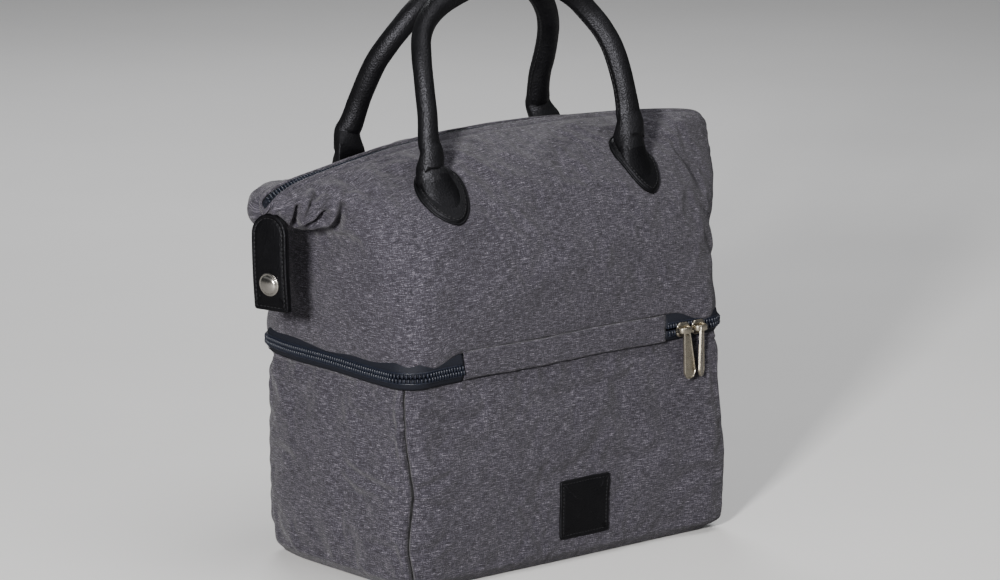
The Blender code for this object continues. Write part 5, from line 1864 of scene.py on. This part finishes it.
def plan_pad(name, mat, body, slot, *nodes, z, half, inset_by, puff, quilt=0.0, down=True):
    """Soft plate that fills the plan, puffed on its lower side, or its upper if not down."""
    cols = 200
    edge_points, normals = plan(np.linspace(0, PERIMETER, cols, endpoint=False))
    edge = edge_points + normals * (-inset_by)
    top, bottom = [], []
    for share in [1.0, 0.992, 0.975, 0.94, 0.88, 0.8, 0.7, 0.6, 0.5, 0.4, 0.3, 0.2, 0.1, 0.03]:
        ring = edge * share
        ridges = np.abs(np.sin(ring / 40 * math.pi)) ** 0.5
        soft = 0.35 * layered_noise(at_height(ring, 0.0), 33.0, seed=81, octaves=2)
        swell = puff * (1 - share**8) + quilt * (ridges[:, 0] * ridges[:, 1])
        swell = swell + soft * (1 - share**6)
        thick = half * (1 - 0.5 * max(0, (share - 0.97) / 0.03) ** 2)
        bottom.append(at_height(ring, z - thick - (swell if down else 0)))
        top.append(at_height(ring, z + thick + (0 if down else swell)))
    rings = np.array(bottom[::-1] + top)
    obj = make(name, rings, capped_faces(len(rings), cols), mat, rings[..., :2], slot)
    fix_normals(obj)
    attach(obj, body, *nodes)


tub()
ring_tube("lower_rim_binding_cloth", BINDING, "lower_compartment", "navy_zip_tape",
          "lower_rim_binding", z=142.4, out=-4.4, radius=1.7, flat=1.2)
plan_pad("lid_lining_film", FOIL, "upper_compartment", "silver_liner",
         "divider_lining", z=151.4, half=0.6, inset_by=6.2, puff=1.6, quilt=0.9)
plan_pad("upper_floor_film", FOIL, "upper_compartment", "silver_liner",
         "divider_foam", z=157.4, half=0.6, inset_by=7.2, puff=0.8, down=False)
ring_tube("lid_rim_binding_cloth", BINDING, "upper_compartment", "navy_zip_tape",
          z=152.4, out=-4.2, radius=1.6, flat=1.3)
plan_pad("base_fabric_panel", BASE_CLOTH, "lower_compartment", "base_fabric",
         "base_panel", "base_board", z=1.6, half=0.9, inset_by=14.0, puff=0.0)
ring_tube("base_seam_piping", BASE_CLOTH, "lower_compartment", "base_fabric",
          z=1.4, out=-14.6, radius=1.2, flat=1.0)


# ---------------------------------------------------------------- stage (metres)
def floor_look():
    """Pale to the camera, darker to every other ray."""
    look = Look("floor_look")
    mottle = look.noise(look.obj(), scale=3.0, detail=3.0, rough=0.5)
    pale = look.ramp(mottle, [(0.3, (0.84, 0.835, 0.825, 1)), (0.7, (0.88, 0.875, 0.865, 1))])
    ray = look.add("ShaderNodeLightPath")
    # a colour mix has its factor at input 0, its colours at 6 and 7, its result at output 2
    shade = look.add("ShaderNodeMix", data_type="RGBA")
    look.feed(shade, {0: ray.outputs["Is Camera Ray"], 6: (0.30, 0.295, 0.29, 1), 7: pale})
    return look.surface(Base_Color=shade.outputs[2], Roughness=0.75)


def stage_floor():
    mesh = bpy.data.meshes.new("floor")
    corners = [(-14, -10, 0), (14, -10, 0), (14, 18, 0), (-14, 18, 0)]
    mesh.from_pydata(corners, [], [(0, 1, 2, 3)])
    floor = bpy.data.objects.new("floor", mesh)
    floor.location.z = -0.0004
    bpy.context.scene.collection.objects.link(floor)
    mesh.materials.append(floor_look())


def area(name, azimuth, elevation, distance, size, power, colour):
    """Square light aimed at the bag; azimuth 0 is in front, negative to the left."""
    azimuth, elevation = math.radians(azimuth), math.radians(elevation)
    direction = Vector((
        math.sin(azimuth) * math.cos(elevation),
        -math.cos(azimuth) * math.cos(elevation),
        math.sin(elevation)))
    light = bpy.data.lights.new(name, "AREA")
    set_all(light, energy=power, size=size, color=colour)
    obj = bpy.data.objects.new(name, light)
    obj.location = Vector((0, 0, 0.17)) + direction * distance
    obj.rotation_mode = "QUATERNION"
    obj.rotation_quaternion = (-direction).to_track_quat("-Z", "Y")
    bpy.context.scene.collection.objects.link(obj)


# brightness of the sky by height: 0 is straight down, 1 straight up
SKY = [(0.0, 0.5), (0.52, 0.35), (0.60, 0.30), (0.66, 1.9), (0.76, 1.7), (0.82, 0.25),
       (0.90, 0.3), (1.0, 1.6)]


def studio_world():
    world = bpy.data.worlds.new("studio")
    world.use_nodes = True
    nodes, links = world.node_tree.nodes, world.node_tree.links
    coord = nodes.new("ShaderNodeTexCoord")
    split = nodes.new("ShaderNodeSeparateXYZ")
    links.new(coord.outputs["Generated"], split.inputs[0])
    # from -1..1 to 0..1
    height = nodes.new("ShaderNodeMath")
    height.operation = "MULTIPLY_ADD"
    height.inputs[1].default_value = height.inputs[2].default_value = 0.5
    links.new(split.outputs[2], height.inputs[0])
    sky = nodes.new("ShaderNodeValToRGB")
    fill_ramp(sky, [(at, (0.95 * k, 0.97 * k, 1.0 * k, 1)) for at, k in SKY])
    links.new(height.outputs[0], sky.inputs[0])
    links.new(sky.outputs[0], nodes["Background"].inputs["Color"])
    nodes["Background"].inputs["Strength"].default_value = 0.13
    bpy.context.scene.world = world


# angles in radians, lengths in millimetres
CAMERA_YAW, CAMERA_PITCH = 0.7052857769933111, 0.21469430178488225
CAMERA_DISTANCE, CAMERA_LENS, SENSOR_WIDTH = 3810.63, 200.5146, 36
# the view's centre: height on the bag's axis, then moves to the right and up in the view
VIEW_Z, VIEW_RIGHT, VIEW_UP = 150.0, 6.309, 24.549


def add_camera():
    cos_yaw, sin_yaw = math.cos(CAMERA_YAW), math.sin(CAMERA_YAW)
    cos_pitch, sin_pitch = math.cos(CAMERA_PITCH), math.sin(CAMERA_PITCH)
    right = Vector((cos_yaw, -sin_yaw, 0))
    forward = Vector((sin_yaw * cos_pitch, cos_yaw * cos_pitch, -sin_pitch))
    target = Vector((0, 0, VIEW_Z)) + VIEW_RIGHT * right + VIEW_UP * right.cross(forward)
    data = bpy.data.cameras.new("camera")
    set_all(data, sensor_width=SENSOR_WIDTH, lens=CAMERA_LENS, clip_start=0.1, clip_end=60)
    camera = bpy.data.objects.new("camera", data)
    camera.location = (target - CAMERA_DISTANCE * forward) * MM
    camera.rotation_mode = "QUATERNION"
    camera.rotation_quaternion = forward.to_track_quat("-Z", "Y")
    bpy.context.scene.collection.objects.link(camera)
    bpy.context.scene.camera = camera


stage_floor()
area("key", azimuth=-54.5, elevation=17, distance=2.6, size=0.24, power=106,
     colour=(1.0, 0.985, 0.97))
area("top", azimuth=25, elevation=68, distance=2.0, size=1.2, power=18, colour=(1.0, 0.99, 0.98))
area("rim", azimuth=150, elevation=38, distance=2.2, size=0.8, power=15, colour=(0.96, 0.97, 1.0))
area("fill", azimuth=5, elevation=18, distance=2.6, size=1.4, power=5, colour=(1.0, 0.99, 0.99))
studio_world()
add_camera()
